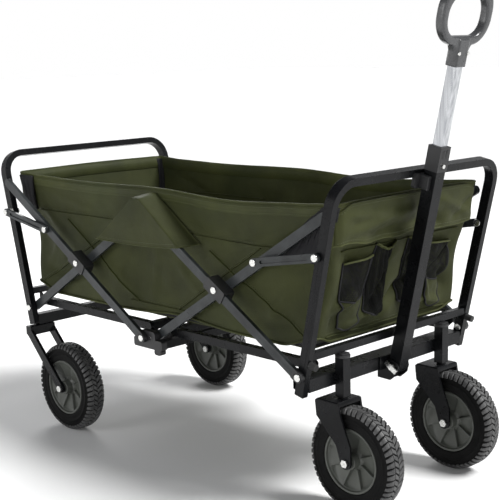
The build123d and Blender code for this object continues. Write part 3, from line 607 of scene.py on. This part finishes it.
# Each fold: from and to (place along the wall, height), then its half-width and height.
SIDE_FOLDS = [
    ((0.44, 0.545), (0.20, 0.500), 0.008, -0.0025),
    ((0.45, 0.530), (0.27, 0.405), 0.009, -0.0030),
    ((0.43, 0.36), (0.25, 0.345), 0.010, 0.0035),
    ((0.40, 0.32), (0.18, 0.352), 0.011, -0.0040),
    ((0.03, 0.50), (0.14, 0.36), 0.010, 0.0030),
    ((-0.03, 0.50), (-0.11, 0.38), 0.009, 0.0025),
    ((0.00, 0.46), (0.02, 0.33), 0.008, -0.0030),
    ((0.06, 0.33), (0.18, 0.41), 0.010, -0.0035),
    ((-0.44, 0.54), (-0.25, 0.47), 0.009, -0.0030),
    ((-0.42, 0.35), (-0.22, 0.33), 0.011, 0.0035),
    ((-0.40, 0.45), (-0.30, 0.33), 0.010, -0.0035),
    ((0.33, 0.44), (0.42, 0.33), 0.009, -0.0035),
    ((0.40, 0.47), (0.44, 0.33), 0.008, 0.0030),
    ((-0.16, 0.34), (-0.05, 0.42), 0.009, -0.0025),
]
END_FOLDS = [
    ((0.205, 0.485), (0.10, 0.400), 0.006, 0.0050),
    ((0.05, 0.475), (0.11, 0.345), 0.007, -0.0050),
    ((-0.02, 0.470), (-0.08, 0.345), 0.007, 0.0050),
    ((-0.20, 0.345), (-0.11, 0.400), 0.007, -0.0055),
    ((-0.20, 0.47), (-0.16, 0.33), 0.008, 0.0040),
    ((-0.17, 0.46), (-0.185, 0.36), 0.007, -0.0040),
    ((-0.05, 0.33), (0.06, 0.41), 0.011, 0.0050),
    ((-0.14, 0.33), (-0.03, 0.36), 0.008, -0.0040),
    ((0.19, 0.48), (0.15, 0.39), 0.009, -0.0060),
    ((0.20, 0.34), (0.13, 0.40), 0.009, 0.0060),
    ((0.17, 0.33), (0.06, 0.35), 0.010, -0.0045),
    ((0.03, 0.46), (0.05, 0.36), 0.009, 0.0035),
]
FLAP_FOLDS = [
    ((-0.19, 0.51), (0.05, 0.545), 0.010, 0.0045),
    ((-0.12, 0.50), (0.10, 0.520), 0.009, -0.0040),
    ((0.02, 0.535), (0.10, 0.500), 0.010, -0.0060),
    ((0.08, 0.55), (0.19, 0.505), 0.009, 0.0040),
    ((0.12, 0.50), (0.20, 0.545), 0.008, -0.0030),
    ((-0.20, 0.55), (-0.05, 0.53), 0.009, 0.0025),
]


def ripple(a, z, seed):
    """Low and middle-sized unevenness of slack cloth."""
    low = noise.noise(Vector((a * 6, z * 9, seed)))
    middle = noise.noise(Vector((a * 21, z * 26, seed + 7)))
    fine = noise.noise(Vector((a * 60, z * 60, seed + 13)))
    return 0.0034 * low + 0.0018 * middle + 0.0006 * fine


def side_dent(x, z, side):
    """How far a side wall's cloth lies inside its flat place."""
    slack = smooth(WALL_LOW_Z, WALL_LOW_Z + 0.05, z) * (1 - smooth(0.50, 0.55, z))
    belly = 0.006 * bump(z, 0.40, 0.09) * (0.6 + 0.4 * cos(x * 15))
    corner = 0.013 * bump(z, 0.43, 0.07) * smooth(0.33, 0.45, abs(x))
    lines = folds(SIDE_FOLDS, x * side, z)
    return 0.0045 + belly + corner + slack * (ripple(x, z, side) * 1.4 + 1.5 * lines) + 0.4 * ripple(x, z, 3)


def end_dent(y, z, end):
    """How far an end wall's cloth lies inside its flat place."""
    slack = smooth(WALL_LOW_Z, WALL_LOW_Z + 0.04, z) * (1 - smooth(0.47, 0.50, z))
    hollow = 0.016 * bump(z, 0.42, 0.07) * (0.35 + 0.65 * smooth(0.10, 0.20, abs(y)))
    lines = folds(END_FOLDS, y * end, z)
    return 0.003 + hollow + slack * (2.2 * ripple(y, z, 20 + end) + 2.6 * lines) + 0.4 * ripple(y, z, 5)


def rim_z(x, y):
    """Height of the basket's top edge: it sags between the knuckles and the hoops."""
    ends = smooth(0.40, 0.47, abs(x))
    lag = 0.0085 if x > 0 else 0.0030
    side_z = 0.5635 - lag * sin(pi * min(1.0, abs(x) / 0.44)) ** 2
    across = 0.0025 * sin(pi * (y / WALL_Y + 1) / 2)
    return side_z + (WALL_END_Z - side_z + across) * ends


def corner_y(z):
    """The corners' outer face, from the middle plane, at height z."""
    return WALL_Y - PINCH * bump(z, 0.43, 0.065) - CORNER_INSET


def end_half(z):
    """Half the width of an end wall's flat part at height z."""
    return corner_y(z) - CORNER_R


def wall_point(station, z, lift=0.0):
    """A point of the basket's cloth. Station (face, place) goes once round it; lift is outward."""
    face, place = station
    reach = wall_x(z)
    if face == "side":
        side, t = place
        x = t * (reach - CORNER_R)
        inward = side_dent(x, z, side)
        blend = smooth(reach - 0.10, reach - CORNER_R, abs(x))
        y = side * ((WALL_Y - inward) * (1 - blend) + corner_y(z) * blend + lift)
        return Vector((X_MID + x, y, z))
    if face == "end":
        end, t = place
        y = t * end_half(z)
        edge = smooth(0.75, 1.0, abs(t))
        inward = end_dent(y, z, end) * (1 - edge)
        return Vector((X_MID + end * (reach - inward + lift), y, z))
    end, side, phi = place
    middle_x = reach - CORNER_R
    middle_y = end_half(z)
    return Vector((X_MID + end * (middle_x + (CORNER_R + lift) * cos(phi)),
                   side * (middle_y + (CORNER_R + lift) * sin(phi)), z))


def stations(side_count=97, end_count=45, corner_count=5):
    """Stations once round the basket, from the rear right corner."""
    round_trip = []
    corner = [(k + 1) * pi / 2 / (corner_count + 1) for k in range(corner_count)]
    ramp = [-1 + 2 * k / (side_count - 1) for k in range(side_count)]
    cross = [-1 + 2 * k / (end_count - 1) for k in range(end_count)]
    round_trip += [("side", (-1, t)) for t in ramp]
    round_trip += [("corner", (1, -1, phi)) for phi in reversed(corner)]
    round_trip += [("end", (1, t)) for t in cross]
    round_trip += [("corner", (1, 1, phi)) for phi in corner]
    round_trip += [("side", (1, -t)) for t in ramp]
    round_trip += [("corner", (-1, 1, phi)) for phi in reversed(corner)]
    round_trip += [("end", (-1, -t)) for t in cross]
    round_trip += [("corner", (-1, -1, phi)) for phi in corner]
    return round_trip


def station_rim(station):
    """Top edge height at a station."""
    point = wall_point(station, 0.56)
    return rim_z(point.x - X_MID, point.y)


def low_edge(station):
    """Bottom edge height at a station: scalloped at the middle, drawn up at the corners."""
    point = wall_point(station, 0.32)
    x, y = abs(point.x - X_MID), abs(point.y)
    if station[0] == "end":
        return WALL_LOW_Z + 0.004 + 0.014 * smooth(0.155, 0.20, y)
    return WALL_LOW_Z - 0.003 + 0.011 * bump(point.x - X_MID, 0.07, 0.10) + 0.020 * smooth(0.35, 0.425, x)


ROUND = stations()


def soft(obj):
    """A piece of the basket: it rides on the top centre."""
    settle(obj)
    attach(obj, "top_centre")
    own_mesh(obj)
    return obj


def make_shell():
    """The four walls, in one loop of cloth."""
    rows = 44
    verts = []
    for r in range(rows):
        v = r / (rows - 1)
        for station in ROUND:
            low, high = low_edge(station), station_rim(station)
            verts.append(wall_point(station, low + (high - low) * v))
    shell = make_object("basket_shell", verts, grid_faces(len(ROUND), rows, True), CANVAS)
    recalc(shell)
    thicken(shell, 0.0017, -1.0)
    return shell


def rim_points(lift, drop=0.0):
    """The basket's top edge as a closed line."""
    return [wall_point(s, station_rim(s) - drop, lift) for s in ROUND]


def make_rim_cord():
    """The rolled cord along the top edge."""
    return tube_along("rim_cord", rim_points(0.0), 0.0021, HEM, 8, True)


def make_rim_band():
    """Hem band folded over the top edge, outside and inside."""
    verts = []
    profile = [(0.0009, 0.022), (0.0013, 0.0215), (0.0014, 0.010), (0.0014, 0.0005),
               (-0.0032, 0.0005), (-0.0034, 0.012), (-0.0032, 0.0255), (-0.0026, 0.026)]
    for lift, drop in profile:
        verts += [wall_point(s, station_rim(s) - drop, lift) for s in ROUND]
    band = make_object("rim_band", verts, grid_faces(len(ROUND), len(profile), True), HEM)
    return recalc(band)


def dashes(line, length=0.0032, gap=0.0022, width=0.0007, height=0.0006):
    """Stitches: short threads laid along a line."""
    verts, faces = [], []
    walked = 0.0
    fence = [0.0]
    for a, b in zip(line, line[1:]):
        fence.append(fence[-1] + (b - a).length)

    def at(distance):
        k = max(0, min(len(fence) - 2, bisect_left(fence, distance) - 1))
        span = max(1e-9, fence[k + 1] - fence[k])
        return line[k].lerp(line[k + 1], (distance - fence[k]) / span)

    while walked + length < fence[-1]:
        a = at(walked)
        b = at(walked + length)
        along = (b - a).normalized()
        cross = along.cross(Vector((0.31, 0.57, 0.76))).normalized()
        lift = cross.cross(along)
        middle = (a + b) / 2
        base = len(verts)
        for centre, grow in ((a, 0.55), (middle, 1.0), (b, 0.55)):
            for k in range(5):
                angle = 2 * pi * k / 5
                out = cross * cos(angle) * width * grow + lift * sin(angle) * height * grow
                verts.append(centre + out)
        faces += grid_faces(5, 3, True, False, base)
        faces.append(tuple(base + k for k in range(5))[::-1])
        faces.append(tuple(base + 10 + k for k in range(5)))
        walked += length + gap
    return verts, faces


def stitches(name, lines):
    """Stitch rows along several lines, as one object."""
    verts, faces = merge(dashes(line) for line in lines)
    return make_object(name, verts, faces, THREAD)


def wall_line(face, side, start, end, lift):
    """A line over a wall from one (place, z) to another, lying on the cloth."""
    count = 60
    line = []
    for k in range(count):
        t = k / (count - 1)
        place = start[0] + (end[0] - start[0]) * t
        z = start[1] + (end[1] - start[1]) * t
        if face == "side":
            line.append(wall_point(("side", (side, place / (wall_x(z) - CORNER_R))), z, lift))
        else:
            line.append(wall_point(("end", (side, place / end_half(z))), z, lift))
    return line


def seam_lines():
    """Where the walls are sewn: the long side seams, the diagonals over the bars, the end seams."""
    seams = {"out": [], "in": []}
    for side in (-1, 1):
        runs = [((-0.41, 0.487), (-0.10, 0.489)), ((0.10, 0.481), (0.41, 0.478)),
                ((-0.09, 0.325), (0.09, 0.325))]
        runs += [((s * 0.405, 0.325), (s * 0.16, 0.455)) for s in (-1, 1)]
        runs += [((s * 0.06, 0.325), (s * 0.30, 0.475)) for s in (-1, 1)]
        for start, end in runs:
            seams["out"].append(wall_line("side", side, start, end, 0.0006))
            seams["in"].append(wall_line("side", side, start, end, -0.0030))
    for end in (-1, 1):
        seams["out"].append(wall_line("end", end, (-0.17, 0.480), (0.17, 0.480), 0.0006))
        seams["out"].append(wall_line("end", end, (-0.175, 0.322), (0.175, 0.322), 0.0006))
        seams["in"].append(wall_line("end", end, (-0.17, 0.480), (0.17, 0.480), -0.0030))
    return seams


def make_seams():
    """Raised lapped seams over the walls, with their stitching."""
    seams = seam_lines()
    strips = [tube_along(f"strip{i}", line, 0.0032, HEM, 6, False, 0.28)
              for i, line in enumerate(seams["out"] + seams["in"])]
    shifted = [[p + Vector((0, 0, 0.0052)) for p in line] for line in seams["out"]]
    return join("wall_seams", strips), stitches("wall_stitches", shifted)


def make_bottom_binding():
    """Webbing bound round the basket's bottom edge."""
    points = [wall_point(s, low_edge(s) + 0.002, 0.0004) for s in ROUND]
    return tube_along("bottom_binding", points, 0.0042, HEM, 8, True, 0.6)


def make_floor():
    """Padded floor panel, quilted in four fields over its boards."""
    half_x = wall_x(WALL_LOW_Z) - 0.010
    half_y = WALL_Y - 0.010

    def height(x, y):
        fold = min(abs(abs(x) - half_x / 2), abs(x), abs(abs(x) - half_x))
        edge = min(half_y - abs(y), half_x - abs(x))
        puff = 0.0035 * (1 - exp(-fold / 0.010)) * (1 - exp(-edge / 0.012))
        return 0.0062 + puff + 0.0006 * noise.noise(Vector((x * 22, y * 22, 2)))

    def top(u, v):
        x, y = (2 * u - 1) * half_x, (2 * v - 1) * half_y
        return Vector((X_MID + x, y, WALL_LOW_Z - 0.003 + height(x, y)))

    panel = cloth_grid("floor_panel", 121, 61, top, CANVAS, 0.0055)
    edge = [top(k / 40, 0) for k in range(41)] + [top(1, k / 24) for k in range(1, 25)]
    edge += [top(1 - k / 40, 1) for k in range(1, 41)] + [top(0, 1 - k / 24) for k in range(1, 24)]
    piping = tube_along("floor_piping", edge, 0.0026, WEBBING, 8, True)
    return panel, piping


def make_end_flap(end):
    """The overlay on an end wall's upper part, its free hem standing off the wall."""

    def place(u, v):
        y = (2 * u - 1) * FLAP_HALF_Y
        hem = FLAP_HEM_Z + 0.0025 * sin(y * 31 + 1) + 0.0015 * sin(y * 67)
        top = rim_z(0.5, y) - 0.001 - 0.014 * smooth(0.165, FLAP_HALF_Y, abs(y))
        z = top + (hem - top) * v
        slack = smooth(0.0, 0.35, v)
        lines = folds(FLAP_FOLDS, y * end, z)
        proud = 0.0050 + 0.0060 * v + slack * (1.7 * lines + 2.0 * ripple(y, z, 40 + end))
        curl = 0.010 * smooth(0.93, 1.0, abs(y) / FLAP_HALF_Y)
        return Vector((X_MID + end * (wall_x(z) + proud - curl), y, z))

    name = "front" if end > 0 else "rear"
    flap = cloth_grid(f"{name}_flap", 70, 26, place, CANVAS, 0.0015, 0.0)
    outline = [place(0, k / 14) for k in range(15)] + [place(k / 60, 1) for k in range(1, 61)]
    outline += [place(1, 1 - k / 14) for k in range(1, 15)]
    piping = tube_along(f"{name}_flap_piping", outline, 0.0016, HEM, 7)
    off = Vector((end * 0.0010, 0, 0))
    rows = [[place(k / 120, v) + off for k in range(2, 119)] for v in (1 - 0.006 / 0.074, 0.07)]
    return [flap, piping, stitches(f"{name}_flap_stitches", rows)]


def make_hood(side):
    """The hood over a top knuckle: cloth stretched over the two bars' upper ends."""
    bar_slope = tan(BAR_ANGLE)
    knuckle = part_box("top_knuckles")[1]
    cover_z = knuckle[2] + 0.005
    top_z = 0.5560
    tip_z = 0.553
    tip_x = 0.004
    skin = WALL_Y - 0.002
    out = 0.2553 - skin

    low_z = 0.460
    low_x = (TOP_PIVOT.z + 0.0165 - low_z) / bar_slope

    def ridge_x(z):
        return tip_x + (low_x - tip_x) * max(0.0, tip_z - z) / (tip_z - low_z)

    def place(u, v):
        t = 2 * u - 1
        hem_z = 0.4545 + 0.0075 * t * t - 0.0045 * t * side
        z = top_z + (hem_z - top_z) * v
        ridge = ridge_x(z)
        reach = 0.84
        skirt = 0.010 + 0.010 * v
        if abs(t) < reach:
            x = t / reach * ridge
        else:
            x = (1 if t > 0 else -1) * (ridge + (abs(t) - reach) / (1 - reach) * skirt)
        outside = max(0.0, abs(x) - ridge) / skirt
        above = smooth(top_z, cover_z, z)
        hollow = 0.0040 * (1 - min(1.0, abs(x) / ridge) ** 2) * smooth(0.25, 1.0, v)
        lift = (out - hollow) * above * (1 - smooth(0.0, 1.0, outside)) + 0.25 * ripple(x, z, 60 + side)
        return Vector((X_MID + x, side * (skin + max(0.0016, lift)), z))

    name = "left" if side > 0 else "right"
    hood = cloth_grid(f"{name}_hood", 101, 60, place, CANVAS, 0.0014, 0.0)
    hem = tube_along(f"{name}_hood_hem", [place(k / 90, 1.0) for k in range(91)], 0.0015, HEM, 7)
    row = [place(k / 150, 0.935) + Vector((0, side * 0.0009, 0)) for k in range(14, 137)]
    return [hood, hem, stitches(f"{name}_hood_stitches", [row])]


def make_gussets():
    """Black webbing over the corners: a triangle at the front, a wrapped strap at the rear."""

    def triangle(side, u, v):
        top, low = ((0.4660, 0.5570), (0.4480, 0.5560)), ((0.4450, 0.4600), (0.3330, 0.4610))
        xa, za = (top[0][k] + (low[0][k] - top[0][k]) * v for k in (0, 1))
        xb, zb = (top[1][k] + (low[1][k] - top[1][k]) * v for k in (0, 1))
        x, z = xa + (xb - xa) * u, za + (zb - za) * u
        t = min(1.0, x / (wall_x(z) - CORNER_R))
        return ("side", (side, t)), z

    def wrap(end, side, u, v, reach, drop):
        z = 0.5625 - drop * v
        corner_x = wall_x(z) - CORNER_R
        if u > 0.5:
            return ("corner", (end, side, (2 * u - 1) * pi / 2)), z
        x = corner_x - reach * (1 - 0.35 * v) * (1 - 2 * u)
        return ("side", (side, end * x / corner_x)), z

    def patch(place, flip):
        verts = []
        for r in range(30):
            for c in range(30):
                station, z = place(c / 29, r / 29)
                pleat = 0.0008 * sin(c * 1.2) * smooth(0.05, 0.3, r / 29)
                verts.append(wall_point(station, z, 0.0019 + pleat))
        gusset = make_object("gusset", verts, grid_faces(30, 30), WEBBING)
        thicken(gusset, 0.0058, flip)
        return settle(gusset)

    pieces = []
    for side in (-1, 1):
        pieces.append(patch(lambda u, v, s=side: triangle(s, u, v), -side))
        pieces.append(patch(lambda u, v, s=side: wrap(1, s, u, v, 0.010, 0.028), side))
        pieces.append(patch(lambda u, v, s=side: wrap(-1, s, u, v, 0.046, 0.075), -side))
    return join("corner_gussets", pieces)


def make_pocket(side):
    """Front pocket: canvas below, net above, a gathered mesh pouch beside it."""
    low_z, high_z = 0.338, 0.460
    centre = side * 0.118
    width = 0.076

    def face(y, z, lift):
        return wall_point(("end", (1, max(-1, min(1, y / end_half(z))))), z, lift)

    def pouch(u, v):
        taper = 0.60 + 0.40 * smooth(0.0, 0.75, v)
        y = centre + side * 0.006 * (1 - v) + (u - 0.5) * width * taper
        z = low_z + (high_z - low_z) * v - 0.006 * (u - 0.5) * side - 0.010 * (1 - v) * sin(pi * u)
        belly = sin(pi * min(1, max(0, u))) ** 0.7 * (0.25 + 0.75 * smooth(0.0, 0.5, v))
        crumple = 0.0016 * noise.noise(Vector((y * 70, z * 60, 1.0)))
        return face(y, z, 0.0016 + 0.0105 * belly + crumple * belly)

    share = 0.42
    canvas_part = cloth_grid("pocket_canvas", 40, 26, lambda u, v: pouch(u, v * share), CANVAS, 0.0014, 0.0)
    net_part = cloth_grid("pocket_net", 40, 30, lambda u, v: pouch(u, share + (1 - share) * v),
                          NET, 0.0011, 0.0)
    name = "left" if side > 0 else "right"

    def across(v, off):
        return [pouch(k / 40, v) + Vector((off, 0, 0)) for k in range(41)]

    hem = tube_along("pocket_hem", across(0.985, 0.001), 0.0040, HEM, 8, False, 0.45)
    seam = tube_along("pocket_seam", across(share, 0.0008), 0.0016, WEBBING, 6)
    edge = [pouch(0, 1 - k / 30) for k in range(31)] + [pouch(k / 30, 0) for k in range(1, 31)]
    edge += [pouch(1, k / 30) for k in range(1, 31)]
    binding = tube_along("pocket_binding", [p + Vector((0.0006, 0, 0)) for p in edge], 0.0019, WEBBING, 7)

    def loose(u, v):
        y = side * (0.024 + 0.054 * u) + side * 0.004 * sin(3.5 * v + 1)
        z = 0.355 + 0.128 * v - 0.012 * sin(pi * u) * smooth(0.6, 1.0, v) - 0.010 * sin(pi * u) * (1 - v)
        belly = sin(pi * u) ** 0.6 * (0.35 + 0.65 * sin(pi * (0.12 + 0.8 * v)))
        pleat = 0.0030 * sin(u * 31 + 2.2 * sin(v * 5)) * (0.3 + 0.7 * v)
        sag = 0.0030 * noise.noise(Vector((y * 48, z * 40, 9 + side)))
        return face(y, z, 0.0018 + 0.0165 * belly + (pleat + sag) * belly)

    mesh_pouch = cloth_grid("mesh_pouch", 64, 56, loose, NET, 0.0011, 0.0)
    gathers = [loose(k / 90, 0.99) + Vector((0.0008 + 0.0009 * sin(k * 1.9), 0, 0.0007 * sin(k * 1.9)))
               for k in range(91)]
    elastic = tube_along("pouch_elastic", gathers, 0.0028, HEM, 7, False, 0.7)
    strap = tube_along("pouch_binding", [loose(0, k / 30) for k in range(31)], 0.0018, WEBBING, 6)
    far_strap = tube_along("pouch_binding2", [loose(1, k / 30) for k in range(31)], 0.0018, WEBBING, 6)
    base = tube_along("pouch_base", [loose(k / 30, 0) for k in range(31)], 0.0020, WEBBING, 6)
    cloth = [canvas_part, net_part, mesh_pouch]
    for piece in cloth:
        settle(piece)
    pocket = join(f"{name}_pocket", cloth)
    trim = join(f"{name}_pocket_trim", [hem, seam, binding, elastic, strap, far_strap, base])
    return pocket, trim


def make_basket():
    """Everything sewn, in one place."""
    shell = make_shell()
    cord = make_rim_cord()
    band = make_rim_band()
    seams, seam_stitches = make_seams()
    rim_rows = stitches("rim_stitches", [rim_points(0.0017, 0.0075), rim_points(0.0017, 0.0185)])
    binding = make_bottom_binding()
    panel, piping = make_floor()
    gussets = make_gussets()
    pieces = [shell, cord, band, seams, seam_stitches, rim_rows, binding, panel, piping, gussets]
    for end in (-1, 1):
        pieces += make_end_flap(end)
    for side in (-1, 1):
        pieces += make_hood(side)
        pieces += make_pocket(side)
    for piece in pieces:
        keep = HOOD_KEEP if "_hood" in piece.name else BASKET_KEEP
        soft(piece)
    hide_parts("basket_walls")
    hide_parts("basket_floor")
    for side in ("left", "right"):
        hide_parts("side_flaps")
    for side in ("left", "right"):
        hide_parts("bottle_pockets")


make_basket()


# -------------------------------------------------------------------- wheels
CROWN_HALF = 0.0095        # flat part of the tread, each side of the middle
SHOULDER_R = 0.013
TREAD_DEPTH = 0.0030


def tread_point(s, t, depth):
    """A point on the tread: s across, t round, both along the surface; depth under it."""
    over = max(0.0, abs(s) - CROWN_HALF) / SHOULDER_R
    y = min(abs(s), CROWN_HALF) + (SHOULDER_R - depth) * sin(over) * (over > 0)
    r = WHEEL_R - SHOULDER_R + (SHOULDER_R - depth) * cos(over)
    turn = t / WHEEL_R
    return Vector((r * cos(turn), y if s > 0 else -y, r * sin(turn)))


def tread_block(ribs):
    """A tread block from ribs (s, t, half-width): walls, chamfer and top."""
    rings = []
    chamfer = 0.0006
    for s, t, half in ribs:
        rings.append([tread_point(s, t - half - 0.0004, TREAD_DEPTH + 0.001),
                      tread_point(s, t - half, chamfer), tread_point(s, t - half + chamfer, 0),
                      tread_point(s, t + half - chamfer, 0), tread_point(s, t + half, chamfer),
                      tread_point(s, t + half + 0.0004, TREAD_DEPTH + 0.001)])
    verts = [p for ring in rings for p in ring]
    faces = grid_faces(6, len(rings))
    last = 6 * (len(rings) - 1)
    faces.append((5, 4, 3, 2, 1, 0))
    faces.append(tuple(last + j for j in range(6)))
    return verts, faces


def lathe(name, profile, material, steps=96):
    """A body of revolution about Y from (y, r) points, closed on itself."""
    verts = []
    for k in range(steps):
        turn = 2 * pi * k / steps
        verts += [Vector((r * cos(turn), y, r * sin(turn))) for y, r in profile]
    obj = make_object(name, verts, grid_faces(len(profile), steps, True, True), material)
    return recalc(obj)


def tyre_profile():
    """Section of the tyre's carcass, round from bead to bead."""
    crown = []
    for k in range(-14, 15):
        p = tread_point(k / 14 * 0.0265, 0, TREAD_DEPTH)
        crown.append((p.y, p.x))
    side = [(0.0193, 0.0835), (0.0200, 0.0800), (0.0212, 0.0788), (0.0214, 0.0772), (0.0203, 0.0760),
            (0.0200, 0.0700), (0.0208, 0.0662), (0.0200, 0.0630), (0.0180, 0.0612)]
    return [(-y, r) for y, r in reversed(side)] + crown + side


def tread_blocks():
    """Shoulder lugs that wrap on to the sidewall, and zigzag bars between them."""
    pitch = 2 * pi * WHEEL_R / TREAD_PITCHES
    blocks = []
    for k in range(TREAD_PITCHES):
        for side in (-1, 1):
            t = (k + (0.25 if side > 0 else 0.75)) * pitch
            lug = [(side * (0.0112 + 0.0150 * j / 5), t + 0.0008 * j * side, 0.0048 - 0.0003 * j)
                   for j in range(6)]
            bar = [(side * (0.0006 + 0.0096 * j / 3), t - pitch * 0.42 + 0.0024 * j, 0.0044)
                   for j in range(4)]
            blocks += [tread_block(lug), tread_block(bar)]
    return blocks


def make_tyre():
    """A knobby tyre about the origin."""
    tyre = lathe("tyre", tyre_profile(), TYRE, 120)
    verts, faces = merge(tread_blocks())
    tread = make_object("tread", verts, faces, TREAD, False)
    recalc(tread)
    return join("tyre", [tyre, tread])


def rim_height(r, share):
    """How far the rim's face stands from the wheel's middle, share of the way through a sector."""
    stops = [(0.0052, 0.0232), (0.0140, 0.0232), (0.0150, 0.0222), (0.0156, 0.0090), (0.0200, 0.0072),
             (0.0540, 0.0140), (0.0560, 0.0150), (0.0572, 0.0192), (0.0600, 0.0198), (0.0612, 0.0190)]
    for (r0, h0), (r1, h1) in zip(stops, stops[1:]):
        if r <= r1:
            base = h0 + (h1 - h0) * (r - r0) / (r1 - r0)
            break
    sunk = smooth(0.0165, 0.0205, r) * (1 - smooth(0.0520, 0.0550, r))
    return base - 0.0058 * sunk * (1 - share) ** 1.3


def make_wheel_rim():
    """A moulded rim about the origin: two faces of eight raked sectors, a lip and a hub."""
    radii = [0.0052, 0.0140, 0.0150, 0.0156, 0.0175, 0.0205, 0.0260, 0.0340, 0.0420, 0.0500, 0.0535,
             0.0548, 0.0560, 0.0572, 0.0600, 0.0612]
    shares = [0.0, 0.14, 0.28, 0.42, 0.56, 0.70, 0.84, 0.96, 0.985]
    verts, columns = [], 8 * len(shares)
    for side in (1, -1):
        for sector in range(8):
            for share in shares:
                turn = (sector + share) * 2 * pi / 8
                depth = 0.0 if share > 0.97 else share / 0.96
                verts += [Vector((r * cos(turn), side * rim_height(r, depth), r * sin(turn)))
                          for r in radii]
    n = len(radii)
    other = columns * n
    faces = grid_faces(n, columns, False, True) + grid_faces(n, columns, False, True, other)
    for c in range(columns):
        d = (c + 1) % columns
        for j in (0, n - 1):
            faces.append((c * n + j, d * n + j, other + d * n + j, other + c * n + j))
    rim = make_object("rim", verts, faces, RIM_PLASTIC, False)
    recalc(rim)
    modifier(rim, "BEVEL", width=0.0005, segments=2, limit_method="ANGLE", angle_limit=radians(35))
    return settle(rim)


def smooth_by_angle(obj, degrees_limit):
    """Smooth shading that keeps edges sharper than a limit."""
    mesh = obj.data
    for polygon in mesh.polygons:
        polygon.use_smooth = True
    mesh.set_sharp_from_angle(angle=radians(degrees_limit))
    return obj


def make_wheels():
    """A tyre and a rim on each wheel."""
    tyre, rim = make_tyre(), smooth_by_angle(make_wheel_rim(), 32)
    for end in ("front", "rear"):
        for side in ("left", "right"):
            joint = joint_point(f"{end}_wheel_{side}_spin")
            for model, slot_name, kind in ((tyre, "tyre_rubber", "tyre"), (rim, "rim_plastic", "rim")):
                twin = model.copy()
                twin.data = model.data.copy()
                twin.name = f"{end}_{side}_{kind}"
                bpy.context.scene.collection.objects.link(twin)
                turn = Matrix.Rotation(WHEEL_TURN[side], 4, "Y")
                twin.data.transform(Matrix.Translation(joint) @ turn)
                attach(twin, f"{end}_wheel_{side}")
                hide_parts(f"{end}_{kind}_{side}")
    for model in (tyre, rim):
        bpy.data.objects.remove(model)


make_wheels()


# ---------------------------------------------------------------------- grip
def make_grip():
    """The moulded pull grip: the CAD grip's form with every edge melted round."""
    source = NODES["handle_grip"]
    grip = bpy.data.objects.new("pull_grip", source.data.copy())
    bpy.context.scene.collection.objects.link(grip)
    grip.data.materials.clear()
    grip.data.materials.append(GREY_PLASTIC)
    for modifier_kind, settings in (("REMESH", {"mode": "VOXEL", "voxel_size": 0.0012}),
                                    ("SMOOTH", {"factor": 0.5, "iterations": 14})):
        modifier(grip, modifier_kind, **settings)
    settle(grip)
    for polygon in grip.data.polygons:
        polygon.use_smooth = True
        polygon.material_index = 0
    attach(grip, "handle_upper")
    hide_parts("handle_grip")


def along_handle(across, distance, forward):
    """A point by its place across, along and in front of the handle's middle line."""
    pivot = joint_point("handle_tilt")
    axis = Vector((sin(LEAN), 0, cos(LEAN)))
    ahead = Vector((cos(LEAN), 0, -sin(LEAN)))
    return pivot + axis * distance + ahead * forward + Vector((0, across, 0))


def make_collar_windows():
    """Two upright slots in the collar's front face."""
    centre_s = 0.4125
    half_height = 0.0048
    radius = 0.0026
    steps = 24
    pieces = []
    for across in (-0.0055, 0.0055):
        verts = []
        for forward in (0.0138, 0.01445):
            for k in range(steps):
                turn = 2 * pi * k / steps
                rise = half_height * (1 if sin(turn) > 0 else -1) + radius * sin(turn)
                verts.append(along_handle(across + radius * cos(turn), centre_s + rise, forward))
        faces = grid_faces(steps, 2, True)
        faces += [tuple(range(steps))[::-1], tuple(range(steps, 2 * steps))]
        slot = make_object("window", verts, faces, SOFT_RUBBER, False)
        pieces.append(recalc(slot))
    windows = join("collar_windows", pieces)
    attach(windows, "handle_lower")


make_grip()
make_collar_windows()
